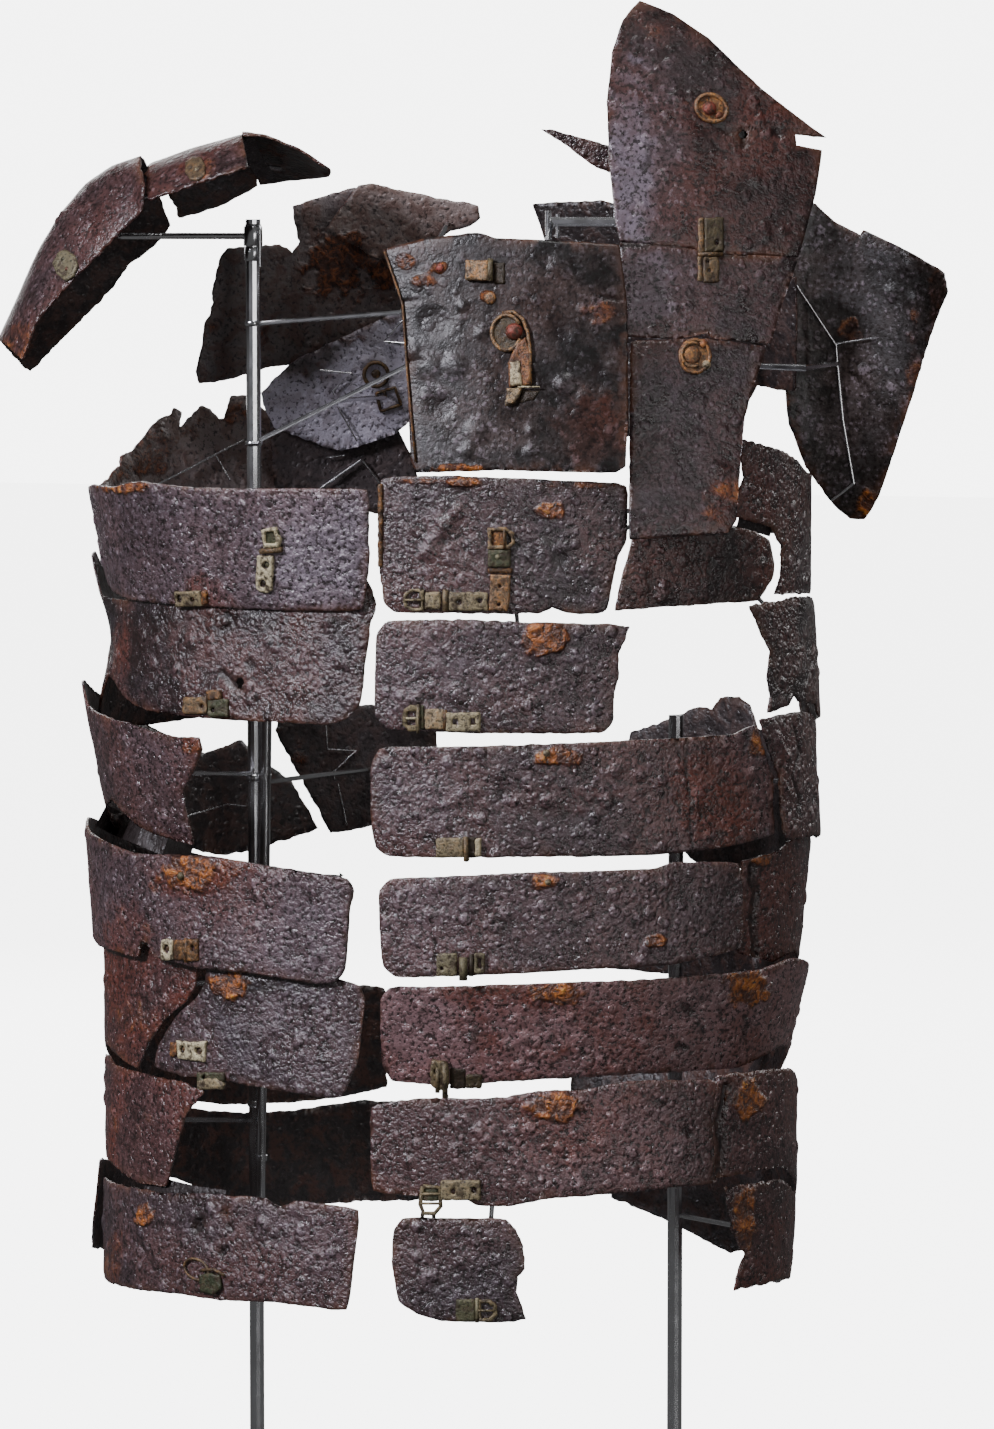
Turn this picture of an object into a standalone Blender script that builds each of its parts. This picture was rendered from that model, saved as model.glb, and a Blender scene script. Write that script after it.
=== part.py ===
"""Lorica segmentata: corroded iron plates with copper-alloy fittings, held in worn shape by a rod stand.

Every plate is an outline in a short table, laid on a named surface and thickened inwards.
Tables are in millimetres; the scene is in metres. The wearer faces -Y and the wearer's left is +X.
Heights in the tables count from ZERO_HEIGHT above the floor.
"""
import math

import bmesh
import bpy
from mathutils import Vector
from mathutils.geometry import delaunay_2d_cdt

MM = 0.001
ZERO_HEIGHT = 30.0
WALL = 2.0
FITTING_WALL = 1.6
SEAM = 0.45
EDGE_STEP = 15.0
GRID_S = 15.0
GRID_Z = 24.0
LEAST_AREA = 0.02

# Torso: an oval hoop, measured along its girth from the front closure
HALF_WIDTH = 196.0
HALF_DEPTH = 135.0
SAG_START = 230.0
SAG_RUN = 170.0
FLARE_START = 180.0
FLARE_RUN = 60.0
FLARE_BELOW = 0.45

COLLECTION = "lorica_segmentata"


def clear_scene():
    """Empty the start-up scene."""
    for thing in list(bpy.data.objects):
        bpy.data.objects.remove(thing, do_unlink=True)
    for group in list(bpy.data.collections):
        bpy.data.collections.remove(group)


def smooth(t):
    """Ease from 0 to 1."""
    t = min(1.0, max(0.0, t))
    return t * t * (3.0 - 2.0 * t)


def make_girth_table(steps=1440):
    """Girth distance at equal turns of the oval, from the front to the back closure."""
    rows = [(0.0, 0.0)]
    last = (0.0, -HALF_DEPTH)
    for i in range(1, steps + 1):
        turn = math.pi * i / steps
        here = (HALF_WIDTH * math.sin(turn), -HALF_DEPTH * math.cos(turn))
        rows.append((rows[-1][0] + math.dist(here, last), turn))
        last = here
    return rows


GIRTH = make_girth_table()


def hoop_at(s):
    """Point of the oval and its outward normal at girth distance s."""
    low, high = 0, len(GIRTH) - 1
    want = min(abs(s), GIRTH[-1][0])
    while high - low > 1:
        mid = (low + high) // 2
        if GIRTH[mid][0] <= want:
            low = mid
        else:
            high = mid
    span = GIRTH[high][0] - GIRTH[low][0]
    turn = GIRTH[low][1] + (GIRTH[high][1] - GIRTH[low][1]) * (want - GIRTH[low][0]) / span
    side = 1.0 if s >= 0 else -1.0
    normal = Vector((side * HALF_DEPTH * math.sin(turn), -HALF_WIDTH * math.cos(turn), 0.0)).normalized()
    point = Vector((side * HALF_WIDTH * math.sin(turn), -HALF_DEPTH * math.cos(turn), 0.0))
    return point, normal


class HoopSurface:
    """Girdle surface: a hoop moved out, leaning with height, sagging round the back, flared at the side."""

    def __init__(self, out, lean, sag, mid, flare=0.0, waist=0.0):
        self.out = out
        self.lean = lean
        self.sag = sag
        self.mid = mid
        self.flare = flare
        self.waist = waist

    def place(self, s, z, depth=0.0):
        point, normal = hoop_at(s)
        rise = z - self.waist
        spread = self.flare * (rise if rise > 0.0 else -FLARE_BELOW * rise)
        out = self.out + self.lean * (z - self.mid) + spread * smooth((abs(s) - FLARE_START) / FLARE_RUN)
        drop = self.sag * smooth((abs(s) - SAG_START) / SAG_RUN)
        face = Vector((normal.x, normal.y, -self.lean)).normalized()
        return Vector((point.x + normal.x * out, point.y + normal.y * out, z - drop)) + face * depth


class PanelSurface:
    """Shoulder, breast or back surface: depth y as a bent sheet over x and z, facing front or back."""

    def __init__(self, base, x0, z0, slope_x, slope_z, bend_x, bend_z, face):
        self.base = base
        self.x0 = x0
        self.z0 = z0
        self.slope_x = slope_x
        self.slope_z = slope_z
        self.bend_x = bend_x
        self.bend_z = bend_z
        self.face = face

    def place(self, x, z, depth=0.0):
        dx = x - self.x0
        dz = z - self.z0
        y = self.base + self.slope_x * dx + self.bend_x * dx * dx + self.slope_z * dz + self.bend_z * dz * dz
        gx = self.slope_x + 2.0 * self.bend_x * dx
        gz = self.slope_z + 2.0 * self.bend_z * dz
        normal = Vector((-gx, 1.0, -gz)).normalized() * self.face
        return Vector((x, y, z)) + normal * depth


def inside(point, ring):
    """Whether a 2D point lies inside a closed ring."""
    x, y = point
    found = False
    for (ax, ay), (bx, by) in zip(ring, ring[1:] + ring[:1]):
        if (ay > y) != (by > y) and x < (bx - ax) * (y - ay) / (by - ay) + ax:
            found = not found
    return found


def edge_distance(point, ring):
    """Distance from a 2D point to the nearest edge of a ring."""
    p = Vector(point)
    best = 1e9
    for a, b in zip(ring, ring[1:] + ring[:1]):
        a = Vector(a)
        b = Vector(b)
        t = max(0.0, min(1.0, (p - a).dot(b - a) / max((b - a).length_squared, 1e-9)))
        best = min(best, (p - a - (b - a) * t).length)
    return best


def split_ring(ring, step):
    """Add points so that no edge of the ring is longer than the step."""
    out = []
    for a, b in zip(ring, ring[1:] + ring[:1]):
        count = max(1, math.ceil(math.dist(a, b) / step))
        for i in range(count):
            t = i / count
            out.append((a[0] + (b[0] - a[0]) * t, a[1] + (b[1] - a[1]) * t))
    return out


def flat_triangles(outline, holes, step, grid_s, grid_z):
    """Triangulate an outline with holes, with a row-and-column grid of points inside it."""
    rings = [split_ring(outline, step)] + [list(hole) for hole in holes]
    points = []
    edges = []
    for ring in rings:
        first = len(points)
        points += [Vector(p) for p in ring]
        edges += [(first + i, first + (i + 1) % len(ring)) for i in range(len(ring))]
    low_s = min(p[0] for p in outline)
    high_s = max(p[0] for p in outline)
    low_z = min(p[1] for p in outline)
    high_z = max(p[1] for p in outline)
    columns = max(1, round((high_s - low_s) / grid_s))
    rows = max(1, round((high_z - low_z) / grid_z))
    clear = 0.35 * min(grid_s, grid_z)
    for i in range(1, columns):
        for j in range(1, rows):
            p = (low_s + (high_s - low_s) * i / columns, low_z + (high_z - low_z) * j / rows)
            free = all(edge_distance(p, ring) > clear for ring in rings)
            if free and inside(p, rings[0]) and not any(inside(p, ring) for ring in rings[1:]):
                points.append(Vector(p))
    verts, _, faces, _, _, _ = delaunay_2d_cdt(points, edges, [], 0, 1e-4)
    kept = []
    for face in faces:
        a, b, c = (verts[i] for i in face)
        area = abs((b - a).cross(c - a)) / 2.0
        middle = (a + b + c) / 3.0
        if area > LEAST_AREA and inside(middle, rings[0]) and not any(inside(middle, r) for r in rings[1:]):
            kept.append(list(face))
    return verts, kept


def make_object(name, bm, material, group):
    """Turn a bmesh in millimetres into a named object in the part's collection."""
    bmesh.ops.remove_doubles(bm, verts=bm.verts, dist=1e-4)
    lonely = [v for v in bm.verts if not v.link_faces]
    bmesh.ops.delete(bm, geom=lonely, context="VERTS")
    mesh = bpy.data.meshes.new(name)
    for v in bm.verts:
        v.co = (v.co + Vector((0.0, 0.0, ZERO_HEIGHT))) * MM
    bm.to_mesh(mesh)
    bm.free()
    thing = bpy.data.objects.new(name, mesh)
    thing.data.materials.append(material)
    group.objects.link(thing)
    return thing


def thicken(thing, wall):
    """Thicken a sheet inwards from its outer face."""
    solid = thing.modifiers.new("wall", "SOLIDIFY")
    solid.thickness = wall * MM
    solid.offset = -1.0
    solid.use_even_offset = True
    solid.use_rim = True


def make_sheet(name, surface, outline, holes, wall, lift, material, group, fine=1.0):
    """A plate: an outline laid on a surface, faced outwards and thickened inwards."""
    verts, faces = flat_triangles(outline, holes, EDGE_STEP * fine, GRID_S * fine, GRID_Z * fine)
    bm = bmesh.new()
    placed = [bm.verts.new(surface.place(p[0], p[1], lift)) for p in verts]
    for face in faces:
        bm.faces.new([placed[i] for i in face])
    bm.normal_update()
    middle = verts[faces[0][0]]
    outward = surface.place(middle[0], middle[1], lift + 1.0) - surface.place(middle[0], middle[1], lift)
    if bm.faces[:][0].normal.dot(outward) < 0:
        bmesh.ops.reverse_faces(bm, faces=bm.faces[:])
    thing = make_object(name, bm, material, group)
    thicken(thing, wall)
    return thing


def curve_through(a, b, c, t):
    """Point at t on the parabola through three points, met at t = 0, 0.5 and 1."""
    return a * (2 * t - 1) * (t - 1) + b * 4 * t * (1 - t) + c * t * (2 * t - 1)


def make_loft(name, sections, across, along, material, group):
    """A bent strap from sections of three points: front edge, ridge and rear edge."""
    rows = []
    for near, far in zip(sections[:-1], sections[1:]):
        for i in range(along):
            t = i / along
            rows.append([Vector(p).lerp(Vector(q), t) for p, q in zip(near, far)])
    rows.append([Vector(p) for p in sections[-1]])
    bm = bmesh.new()
    grid = [[bm.verts.new(curve_through(*row, j / across)) for j in range(across + 1)] for row in rows]
    for near, far in zip(grid[:-1], grid[1:]):
        for j in range(across):
            bm.faces.new([near[j], near[j + 1], far[j + 1], far[j]])
    bm.normal_update()
    if sum(face.normal.z for face in bm.faces) < 0:
        bmesh.ops.reverse_faces(bm, faces=bm.faces[:])
    bmesh.ops.triangulate(bm, faces=bm.faces[:])
    thing = make_object(name, bm, material, group)
    thicken(thing, WALL)
    return thing


def circle(cx, cz, radius, count, start=0.0):
    """Points of a circle in a surface's own two measures."""
    turns = [start + 2.0 * math.pi * i / count for i in range(count)]
    return [(cx + radius * math.cos(t), cz + radius * math.sin(t)) for t in turns]


def box_ring(cx, cz, width, height):
    """Points of a rectangle."""
    w, h = width / 2.0, height / 2.0
    return [(cx - w, cz - h), (cx + w, cz - h), (cx + w, cz + h), (cx - w, cz + h)]


def make_material(name, colour, metallic, rough):
    """A plain material for the part."""
    material = bpy.data.materials.new(name)
    material.use_nodes = True
    shader = material.node_tree.nodes["Principled BSDF"]
    shader.inputs["Base Color"].default_value = (*colour, 1.0)
    shader.inputs["Metallic"].default_value = metallic
    shader.inputs["Roughness"].default_value = rough
    material.diffuse_color = (*colour, 1.0)
    return material


# Girdle surfaces. Columns: out, lean (out per height), sag of the back, height where the lean is nothing,
# flare of the side (out per height), height of its waist
HOOPS = {
    "r1_front": (2.2, 0.20, 0.0, 590.0),
    "r1_back": (3.5, 0.16, 0.0, 590.0),
    "r2": (-10.4, -0.05, 25.0, 548.0, 0.33, 517.0),
    "r3_side": (0.3, 0.19, 28.0, 455.0),
    "r3_back": (0.0, 0.0, 0.0, 435.0),
    "r4": (3.5, 0.06, 32.0, 383.0),
    "r5_side": (-4.0, 0.0, 37.0, 325.0),
    "r5_front": (-2.0, 0.0, 37.0, 325.0),
    "r6": (-4.0, 0.0, 45.0, 265.0),
    "r7_front": (-2.5, 0.0, 42.0, 205.0),
    "r7_back": (2.5, -0.12, 42.0, 210.0),
    "l1_front": (0.0, 0.0, 0.0, 575.0),
    "l1_mid": (0.0, 0.0, 0.0, 575.0),
    "l1_side": (-2.5, 0.0, 20.0, 580.0),
    "l2_front": (0.0, 0.0, 0.0, 510.0),
    "l2_side": (1.0, -0.06, 26.0, 517.0),
    "l3_front": (0.0, 0.0, 28.0, 445.0),
    "l3_side": (2.0, -0.05, 28.0, 450.0),
    "l3_back": (2.5, 0.0, 0.0, 435.0),
    "l4_front": (0.0, 0.0, 0.0, 383.0),
    "l4_side": (-4.0, 0.10, 32.0, 400.0),
    "l5": (-8.8, 0.24, 36.0, 330.0),
    "l6_front": (-1.0, 0.0, 45.0, 270.0),
    "l6_side": (-8.5, 0.0, 45.0, 270.0),
    "l7_front": (0.0, 0.0, 0.0, 205.0),
    "l7_side": (-10.0, 0.06, 42.0, 215.0),
}

# Girdle outlines. Columns: girth from the front closure (wearer's left is plus), height
GIRDLE = {
    "r1_front": [(-1, 604), (-102, 602), (-145, 604), (-170, 600), (-200, 600), (-224, 597), (-238, 589),
                 (-238, 566), (-230, 548), (-181, 541), (-110, 541), (-50, 541), (-8, 542), (-3, 570)],
    "r1_back": [(-244, 556), (-243, 583), (-248, 584), (-249, 590), (-254, 590), (-263, 596), (-275, 599),
                (-281, 603), (-289, 606), (-290, 611), (-298, 613), (-307, 619), (-314, 625), (-320, 630),
                (-327, 632), (-330, 636), (-334, 634), (-331, 624), (-340, 631), (-346, 637), (-351, 635),
                (-355, 629), (-359, 629), (-363, 642), (-372, 643), (-378, 637), (-384, 631), (-389, 624),
                (-396, 610), (-404, 600), (-404, 556)],
    "r2": [(-2, 541), (-2, 546), (-5, 553), (-8, 559), (-14, 559), (-20, 546), (-120, 546), (-178, 547),
           (-186, 539), (-228, 539), (-238, 549), (-242, 560), (-252, 563), (-258, 553), (-300, 552),
           (-420, 552), (-421, 498), (-364, 494), (-335, 484), (-300, 474), (-262, 470), (-245, 474),
           (-228, 488), (-214, 499), (-201, 496), (-185, 489), (-171, 486), (-155, 484), (-120, 483),
           (-27, 483), (-18, 486), (-11, 492), (-9, 501), (-8, 514), (-6, 527), (-5, 537)],
    "r3_side": [(-101, 473), (-121, 472), (-147, 476), (-200, 480), (-214, 482), (-228, 493), (-240, 493),
                (-290, 479), (-343, 466), (-366, 477), (-371, 470), (-393, 456), (-407, 431), (-349, 412),
                (-300, 414), (-250, 414), (-215, 428), (-195, 434), (-163, 422), (-127, 417), (-116, 416),
                (-118, 430), (-119, 443), (-108, 456), (-100, 467)],
    "r3_back": [(-384, 458), (-385, 465), (-412, 468), (-438, 471), (-474, 457), (-474, 404), (-438, 404),
                (-415, 400), (-400, 429)],
    "r4": [(-12, 405), (-67, 410), (-92, 412), (-129, 410), (-147, 409), (-214, 415), (-240, 420),
           (-300, 414), (-424, 411), (-424, 356), (-300, 356), (-235, 357), (-197, 355), (-151, 354),
           (-150, 363), (-143, 364), (-138, 356), (-109, 353), (-70, 353), (-32, 350), (-20, 351),
           (-15, 358), (-12, 390), (-9, 399)],
    "r5_side": [(-110, 359), (-150, 360), (-238, 362), (-300, 360), (-420, 353), (-445, 350), (-446, 295),
                (-420, 290), (-380, 286), (-345, 280), (-300, 276), (-262, 285), (-235, 296), (-208, 301), (-184, 297), (-163, 294), (-150, 310),
                (-135, 324), (-120, 333), (-112, 342)],
    "r5_front": [(-8, 349), (-22, 352), (-40, 357), (-101, 358), (-101, 346), (-108, 336), (-124, 325), (-138, 309),
                 (-143, 297), (-121, 295), (-88, 295), (-57, 293), (-31, 291), (-18, 291), (-10, 310),
                 (-6, 343)],
    "r6": [(-106, 287), (-121, 290), (-167, 291), (-196, 291), (-206, 294), (-238, 291), (-262, 280), (-300, 273),
           (-345, 281), (-380, 288), (-434, 295), (-478, 293), (-480, 240), (-437, 239), (-392, 236),
           (-300, 237), (-238, 239), (-200, 238), (-187, 236), (-161, 233), (-136, 234), (-125, 262),
           (-119, 275)],
    "r7_front": [(-9, 233), (-46, 235), (-55, 230), (-64, 235), (-110, 233), (-135, 230), (-165, 229),
                 (-204, 227), (-228, 226), (-229, 174), (-206, 173), (-122, 179), (-93, 179), (-58, 182),
                 (-16, 180)],
    "r7_back": [(-234, 234), (-300, 233), (-420, 230), (-423, 184), (-300, 183), (-242, 186), (-235, 200)],
    "l1_front": [(4, 610), (39, 611), (72, 610), (131, 607), (131, 579), (126, 571), (124, 562), (122, 550),
                 (120, 542), (100, 542), (92, 546), (87, 542), (11, 542), (6, 546), (4, 565)],
    "l1_mid": [(135, 604), (182, 604), (185, 585), (205, 581), (216, 576), (220, 564), (219, 557),
               (208, 546), (151, 545), (125, 543), (129, 560), (134, 577)],
    "l1_side": [(192, 590), (201, 609), (198, 629), (230, 621), (249, 616), (262, 611), (285, 611),
                (298, 606), (300, 552), (268, 549), (225, 548), (231, 557), (231, 573), (222, 583)],
    "l2_front": [(2, 530), (7, 537), (41, 538), (78, 537), (134, 535), (131, 530), (126, 520), (127, 508),
                 (124, 502), (124, 486), (120, 481), (57, 481), (8, 482), (1, 488)],
    "l2_side": [(203, 543), (240, 545), (268, 547), (328, 546), (330, 490), (290, 487), (272, 486),
                (266, 492), (240, 492), (236, 497), (230, 491), (213, 488), (216, 496), (214, 505), (218, 519),
                (211, 529)],
    "l3_front": [(3, 472), (38, 473), (131, 476), (193, 477), (206, 482), (212, 468), (220, 453),
                 (219, 439), (221, 424), (183, 420), (148, 418), (90, 418), (9, 417), (1, 421), (-1, 440),
                 (-1, 462)],
    "l3_side": [(210, 484), (240, 486), (268, 486), (318, 482), (320, 428), (268, 423), (226, 421),
                (223, 439), (224, 453), (216, 468)],
    "l3_back": [(345, 393), (325, 398), (324, 455), (374, 466), (380, 478), (389, 482), (402, 481), (408, 474),
                (418, 475), (444, 464), (462, 459), (467, 404), (430, 397), (415, 388), (382, 390)],
    "l4_front": [(3, 399), (9, 405), (82, 409), (148, 410), (155, 413), (196, 411), (198, 387), (198, 367),
                 (154, 361), (107, 360), (71, 358), (12, 355), (5, 360)],
    "l4_side": [(200, 411), (230, 414), (240, 419), (268, 423), (300, 422), (400, 412), (488, 408),
                (490, 362), (400, 360), (300, 358), (262, 362), (233, 356), (203, 363), (202, 387)],
    "l5": [(2, 342), (7, 348), (79, 351), (110, 352), (182, 353), (215, 353), (240, 357), (300, 357),
           (400, 353), (488, 352), (490, 295), (400, 297), (300, 308), (262, 313), (233, 306), (211, 302),
           (187, 303), (131, 303), (84, 301), (38, 298), (5, 298), (0, 306)],
    "l6_front": [(-2, 287), (22, 292), (66, 293), (87, 297), (110, 297), (132, 301), (184, 299),
                 (178, 280), (181, 265), (181, 252), (184, 246), (156, 246), (128, 244), (91, 242),
                 (70, 238), (53, 238), (49, 242), (-1, 243)],
    "l6_side": [(189, 300), (239, 299), (300, 300), (400, 298), (466, 296), (467, 247), (434, 239),
                (402, 230), (381, 224), (330, 232), (290, 241), (243, 248), (187, 247), (186, 262),
                (183, 280)],
    "l7_front": [(15, 230), (69, 231), (74, 225), (78, 217), (79, 205), (74, 202), (74, 193), (80, 179),
                 (69, 178), (36, 178), (23, 181), (13, 187), (10, 207), (11, 224)],
    "l7_side": [(194, 241), (243, 240), (280, 233), (320, 221), (334, 213), (336, 199), (300, 195), (262, 189),
                (231, 186), (209, 187), (204, 185), (209, 198), (212, 204), (206, 211), (200, 219)],
}

# Holes rusted through. Columns: plate, girth, height, radius
RUST_HOLES = [
    ("r2", -83, 502, 4.5),
    ("r7_front", -106, 217, 2.2),
    ("r7_front", -89, 205, 2.2),
    ("r7_front", -89, 225, 2.0),
    ("shoulder_left_upper", 171, 784, 3.2),
]

# Upper surfaces. Columns: depth, x0, z0, slope in x, slope in z, bend in x, bend in z, faces front -1 or back 1
SHOULDER = (-104.0, 140.0, 600.0, 0.5, 0.22, 0.0015, 0.0, -1.0)
PANELS = {
    "breast_left": (-126.0, 45.0, 613.0, 0.0, 0.16, 0.0013, 0.0, -1.0),
    "shoulder_left_front": SHOULDER,
    "shoulder_left_lower": SHOULDER,
    "shoulder_left_upper": SHOULDER,
    "shoulder_left_scrap": (8.0, 47.0, 780.0, 0.25, 0.0, 0.0, 0.0, -1.0),
    "shoulder_left_outer": (68.0, 220.0, 660.0, -0.2, 0.0, -0.006, 0.0, 1.0),
    "collar_right": (122.0, 0.0, 600.0, 0.0, -0.22, -0.0030, 0.0, 1.0),
    "blade_right": (128.0, 0.0, 600.0, 0.0, -0.22, -0.0022, 0.0, 1.0),
    "back_right_upper": (122.0, 0.0, 600.0, 0.0, -0.22, -0.0022, 0.0, 1.0),
    "back_right_lower": (128.0, 0.0, 600.0, 0.0, -0.22, -0.0022, 0.0, 1.0),
    "collar_left": (122.0, 0.0, 600.0, 0.0, -0.22, -0.0030, 0.0, 1.0),
    "blade_left": (128.0, 0.0, 600.0, 0.0, -0.22, -0.0022, 0.0, 1.0),
}

# Upper outlines. Columns: x, height
UPPER = {
    "breast_left": [(-4, 725), (20, 731), (47, 734), (57, 731), (81, 730), (120, 728), (125, 699),
                    (128, 640), (128, 617), (124, 614), (62, 615), (39, 614), (20, 613), (17, 620),
                    (13, 663), (8, 698)],
    "shoulder_left_upper": [(119, 852), (112, 842), (108, 826), (107, 801), (110, 769), (114, 743),
                            (117, 730), (144, 728), (165, 724), (199, 722), (205, 754), (207, 776),
                            (195, 778), (194, 785), (209, 782), (195, 793), (178, 807), (162, 823),
                            (152, 833), (135, 845)],
    "shoulder_left_lower": [(117, 729), (144, 727), (165, 723), (199, 721), (192, 694), (189, 678),
                            (163, 681), (160, 684), (147, 681), (122, 682), (119, 710)],
    "shoulder_left_front": [(125, 679), (160, 680), (187, 676), (183, 660), (179, 641), (178, 609),
                            (178, 589), (175, 583), (130, 580)],
    "shoulder_left_scrap": [(47, 788), (52, 787), (90, 776), (128, 768), (128, 756), (90, 762), (75, 768),
                            (60, 779)],
    "shoulder_left_outer": [(171, 752), (181, 748), (190, 739), (205, 731), (207, 734), (232, 723), (254, 712),
                            (256, 703), (248, 686), (216, 595), (208, 582), (200, 582), (189, 592),
                            (177, 609), (168, 633), (165, 664), (168, 706), (161, 716), (161, 741)],
    "collar_right": [(-93, 734), (-84, 746), (-75, 758), (-68, 759), (-53, 755), (-13, 747), (-12, 741),
                     (-18, 737), (-29, 734), (-56, 720), (-67, 719), (-79, 726)],
    "blade_right": [(-112, 747), (-111, 737), (-110, 728), (-114, 721), (-117, 725), (-128, 725), (-145, 724),
                    (-148, 720), (-151, 710), (-154, 701), (-153, 695), (-155, 689), (-158, 684), (-160, 671),
                    (-164, 657), (-163, 651), (-155, 652), (-146, 654), (-133, 659), (-114, 661), (-93, 664),
                    (-70, 664), (-30, 666), (-28, 724), (-45, 730), (-66, 736), (-80, 757)],
    "back_right_upper": [(-124, 654), (-132, 645), (-132, 639), (-127, 627), (-118, 622), (-95, 613),
                         (-66, 623), (-56, 632), (-28, 640), (-28, 682), (-60, 690), (-92, 674), (-112, 664)],
    "back_right_lower": [(-131, 630), (-131, 593), (-105, 585), (-80, 578), (-57, 594), (-61, 610),
                         (-68, 627), (-95, 622)],
    "collar_left": [(19, 748), (60, 750), (110, 741), (122, 736), (122, 716), (60, 712), (28, 720)],
    "blade_left": [(15, 624), (13, 700), (26, 728), (60, 724), (120, 718), (162, 711), (179, 710),
                   (178, 680), (175, 650), (162, 651), (150, 653), (140, 640), (120, 632), (60, 622)],
}

# Right shoulder guards. Columns: front edge x, y, z; ridge x, y, z; rear edge x, y, z
STRAPS = {
    "shoulder_right_outer": [
        ((-226, -45, 666), (-257, 0, 676), (-257, 45, 657)),
        ((-218, -45, 687), (-248, 0, 693), (-245, 45, 669)),
        ((-202, -45, 704), (-232, 0, 725), (-222, 45, 690)),
        ((-187, -45, 718), (-220, 0, 744), (-211, 45, 700)),
        ((-174, -45, 730), (-206, 0, 759), (-200, 45, 715)),
        ((-158, -45, 745), (-191, 0, 768), (-183, 45, 727)),
        ((-157, -45, 757), (-174, 0, 773), (-175, 45, 737)),
    ],
    "shoulder_right_inner": [
        ((-154, -45, 751), (-168, 0, 770), (-169, 45, 742)),
        ((-126, -45, 760), (-146, 0, 777), (-147, 45, 748)),
        ((-99, -45, 768), (-117, 0, 785), (-124, 45, 759)),
    ],
    "shoulder_right_neck": [
        ((-111.4, -14, 785.5), (-118.2, 12, 782.5), (-122.6, 45, 759.5)),
        ((-101, -8, 785), (-103, 14, 778), (-108, 45, 762)),
        ((-84, -2, 778), (-86, 18, 772), (-94, 45, 763)),
        ((-72, 4, 769), (-74, 20, 767), (-84, 45, 764)),
    ],
}

# Stand: a tall and a short post on a flat base, a stub post carried by cross rods, a neck bar and arms
POST_X = 118.0
POST_Y = 20.0
POST_TOP = 740.0
SHORT_POST_TOP = 479.0
STUB = (564.0, 740.0)
POST_RADIUS = 4.0
CROSS_RODS = [((-118, 20, 684), (118, 20, 703)), ((-118, 20, 620), (118, 20, 735))]
ARM_RADIUS = 1.3
ARM_GAP = 0.8
BASE_SIZE = (360.0, 270.0, 9.0)
BAR = [(118, 20, 736), (118, 20, 739), (50, 20, 739), (47, 20, 730)]

# Arms. Columns: plate, start x, start y, start z, target on the plate's two measures
ARMS = [
    ("r1_front", -118, 20, 575, -150, 575),
    ("r1_back", -118, 20, 585, -320, 585),
    ("r2", -118, 20, 520, -175, 522),
    ("r3_side", -118, 20, 441, -160, 448),
    ("r3_back", -118, 20, 436, -435, 436),
    ("r4", -118, 20, 385, -110, 385),
    ("r5_side", -118, 20, 330, -200, 330),
    ("r5_front", -118, 20, 322, -95, 322),
    ("r6", -118, 20, 252, -190, 262),
    ("r7_front", -118, 20, 205, -120, 205),
    ("r7_back", -118, 20, 196, -300, 210),
    ("l1_front", 118, 20, 590, 105, 590),
    ("l1_mid", 118, 20, 570, 165, 570),
    ("l1_side", 118, 20, 580, 260, 580),
    ("l2_front", 118, 20, 590, 75, 531),
    ("l2_side", 118, 20, 590, 238, 536),
    ("l3_front", 118, 20, 445, 140, 445),
    ("l3_side", 118, 20, 450, 262, 450),
    ("l3_back", 118, 20, 438, 390, 438),
    ("l4_front", 118, 20, 383, 140, 383),
    ("l4_side", 118, 20, 388, 262, 388),
    ("l5", 118, 20, 325, 140, 325),
    ("l6_front", 118, 20, 270, 120, 270),
    ("l6_side", 118, 20, 275, 262, 275),
    ("l7_front", 118, 20, 270, 60, 222),
    ("l7_side", 118, 20, 212, 262, 212),
    ("breast_left", 118, 20, 668, 100, 668),
    ("shoulder_left_front", 118, 20, 640, 155, 640),
    ("shoulder_left_lower", 118, 20, 700, 160, 700),
    ("shoulder_left_upper", 118, 20, 737, 150, 775),
    ("shoulder_left_scrap", 84, 20, 739, 86, 771),
    ("shoulder_left_outer", 118, 20, 665, 193, 664),
    ("collar_right", -35, 20, 690.6, -30, 738),
    ("blade_right", -118, 20, 698, -130, 698),
    ("back_right_upper", -70, 20, 643.4, -70, 645),
    ("back_right_lower", -118, 20, 590, -100, 593),
    ("collar_left", 84, 20, 739, 84, 732),
    ("blade_left", 118, 20, 684, 130, 684),
]

# Arms that bend round a neighbour on the way. Columns: plate, bend point
BENDS = {"shoulder_left_outer": (188, 18, 663), "l2_front": (66, -104, 558), "l7_front": (60, -114, 268)}

# Arms to the right shoulder guards. Columns: start x, y, z; end x, y, z
STRAP_ARMS = [
    ((-118, 20, 731), (-190, 8, 731), (-203.2, 3.4, 755.6)),
    ((-195.5, 5, 741.5), (-176, 9, 752), (-156, 8, 761), (-152, 6, 769.5)),
    ((-154, 7, 765), (-130, 8, 771), (-112, 20, 768), (-105, 28, 767.1)),
]

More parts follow.
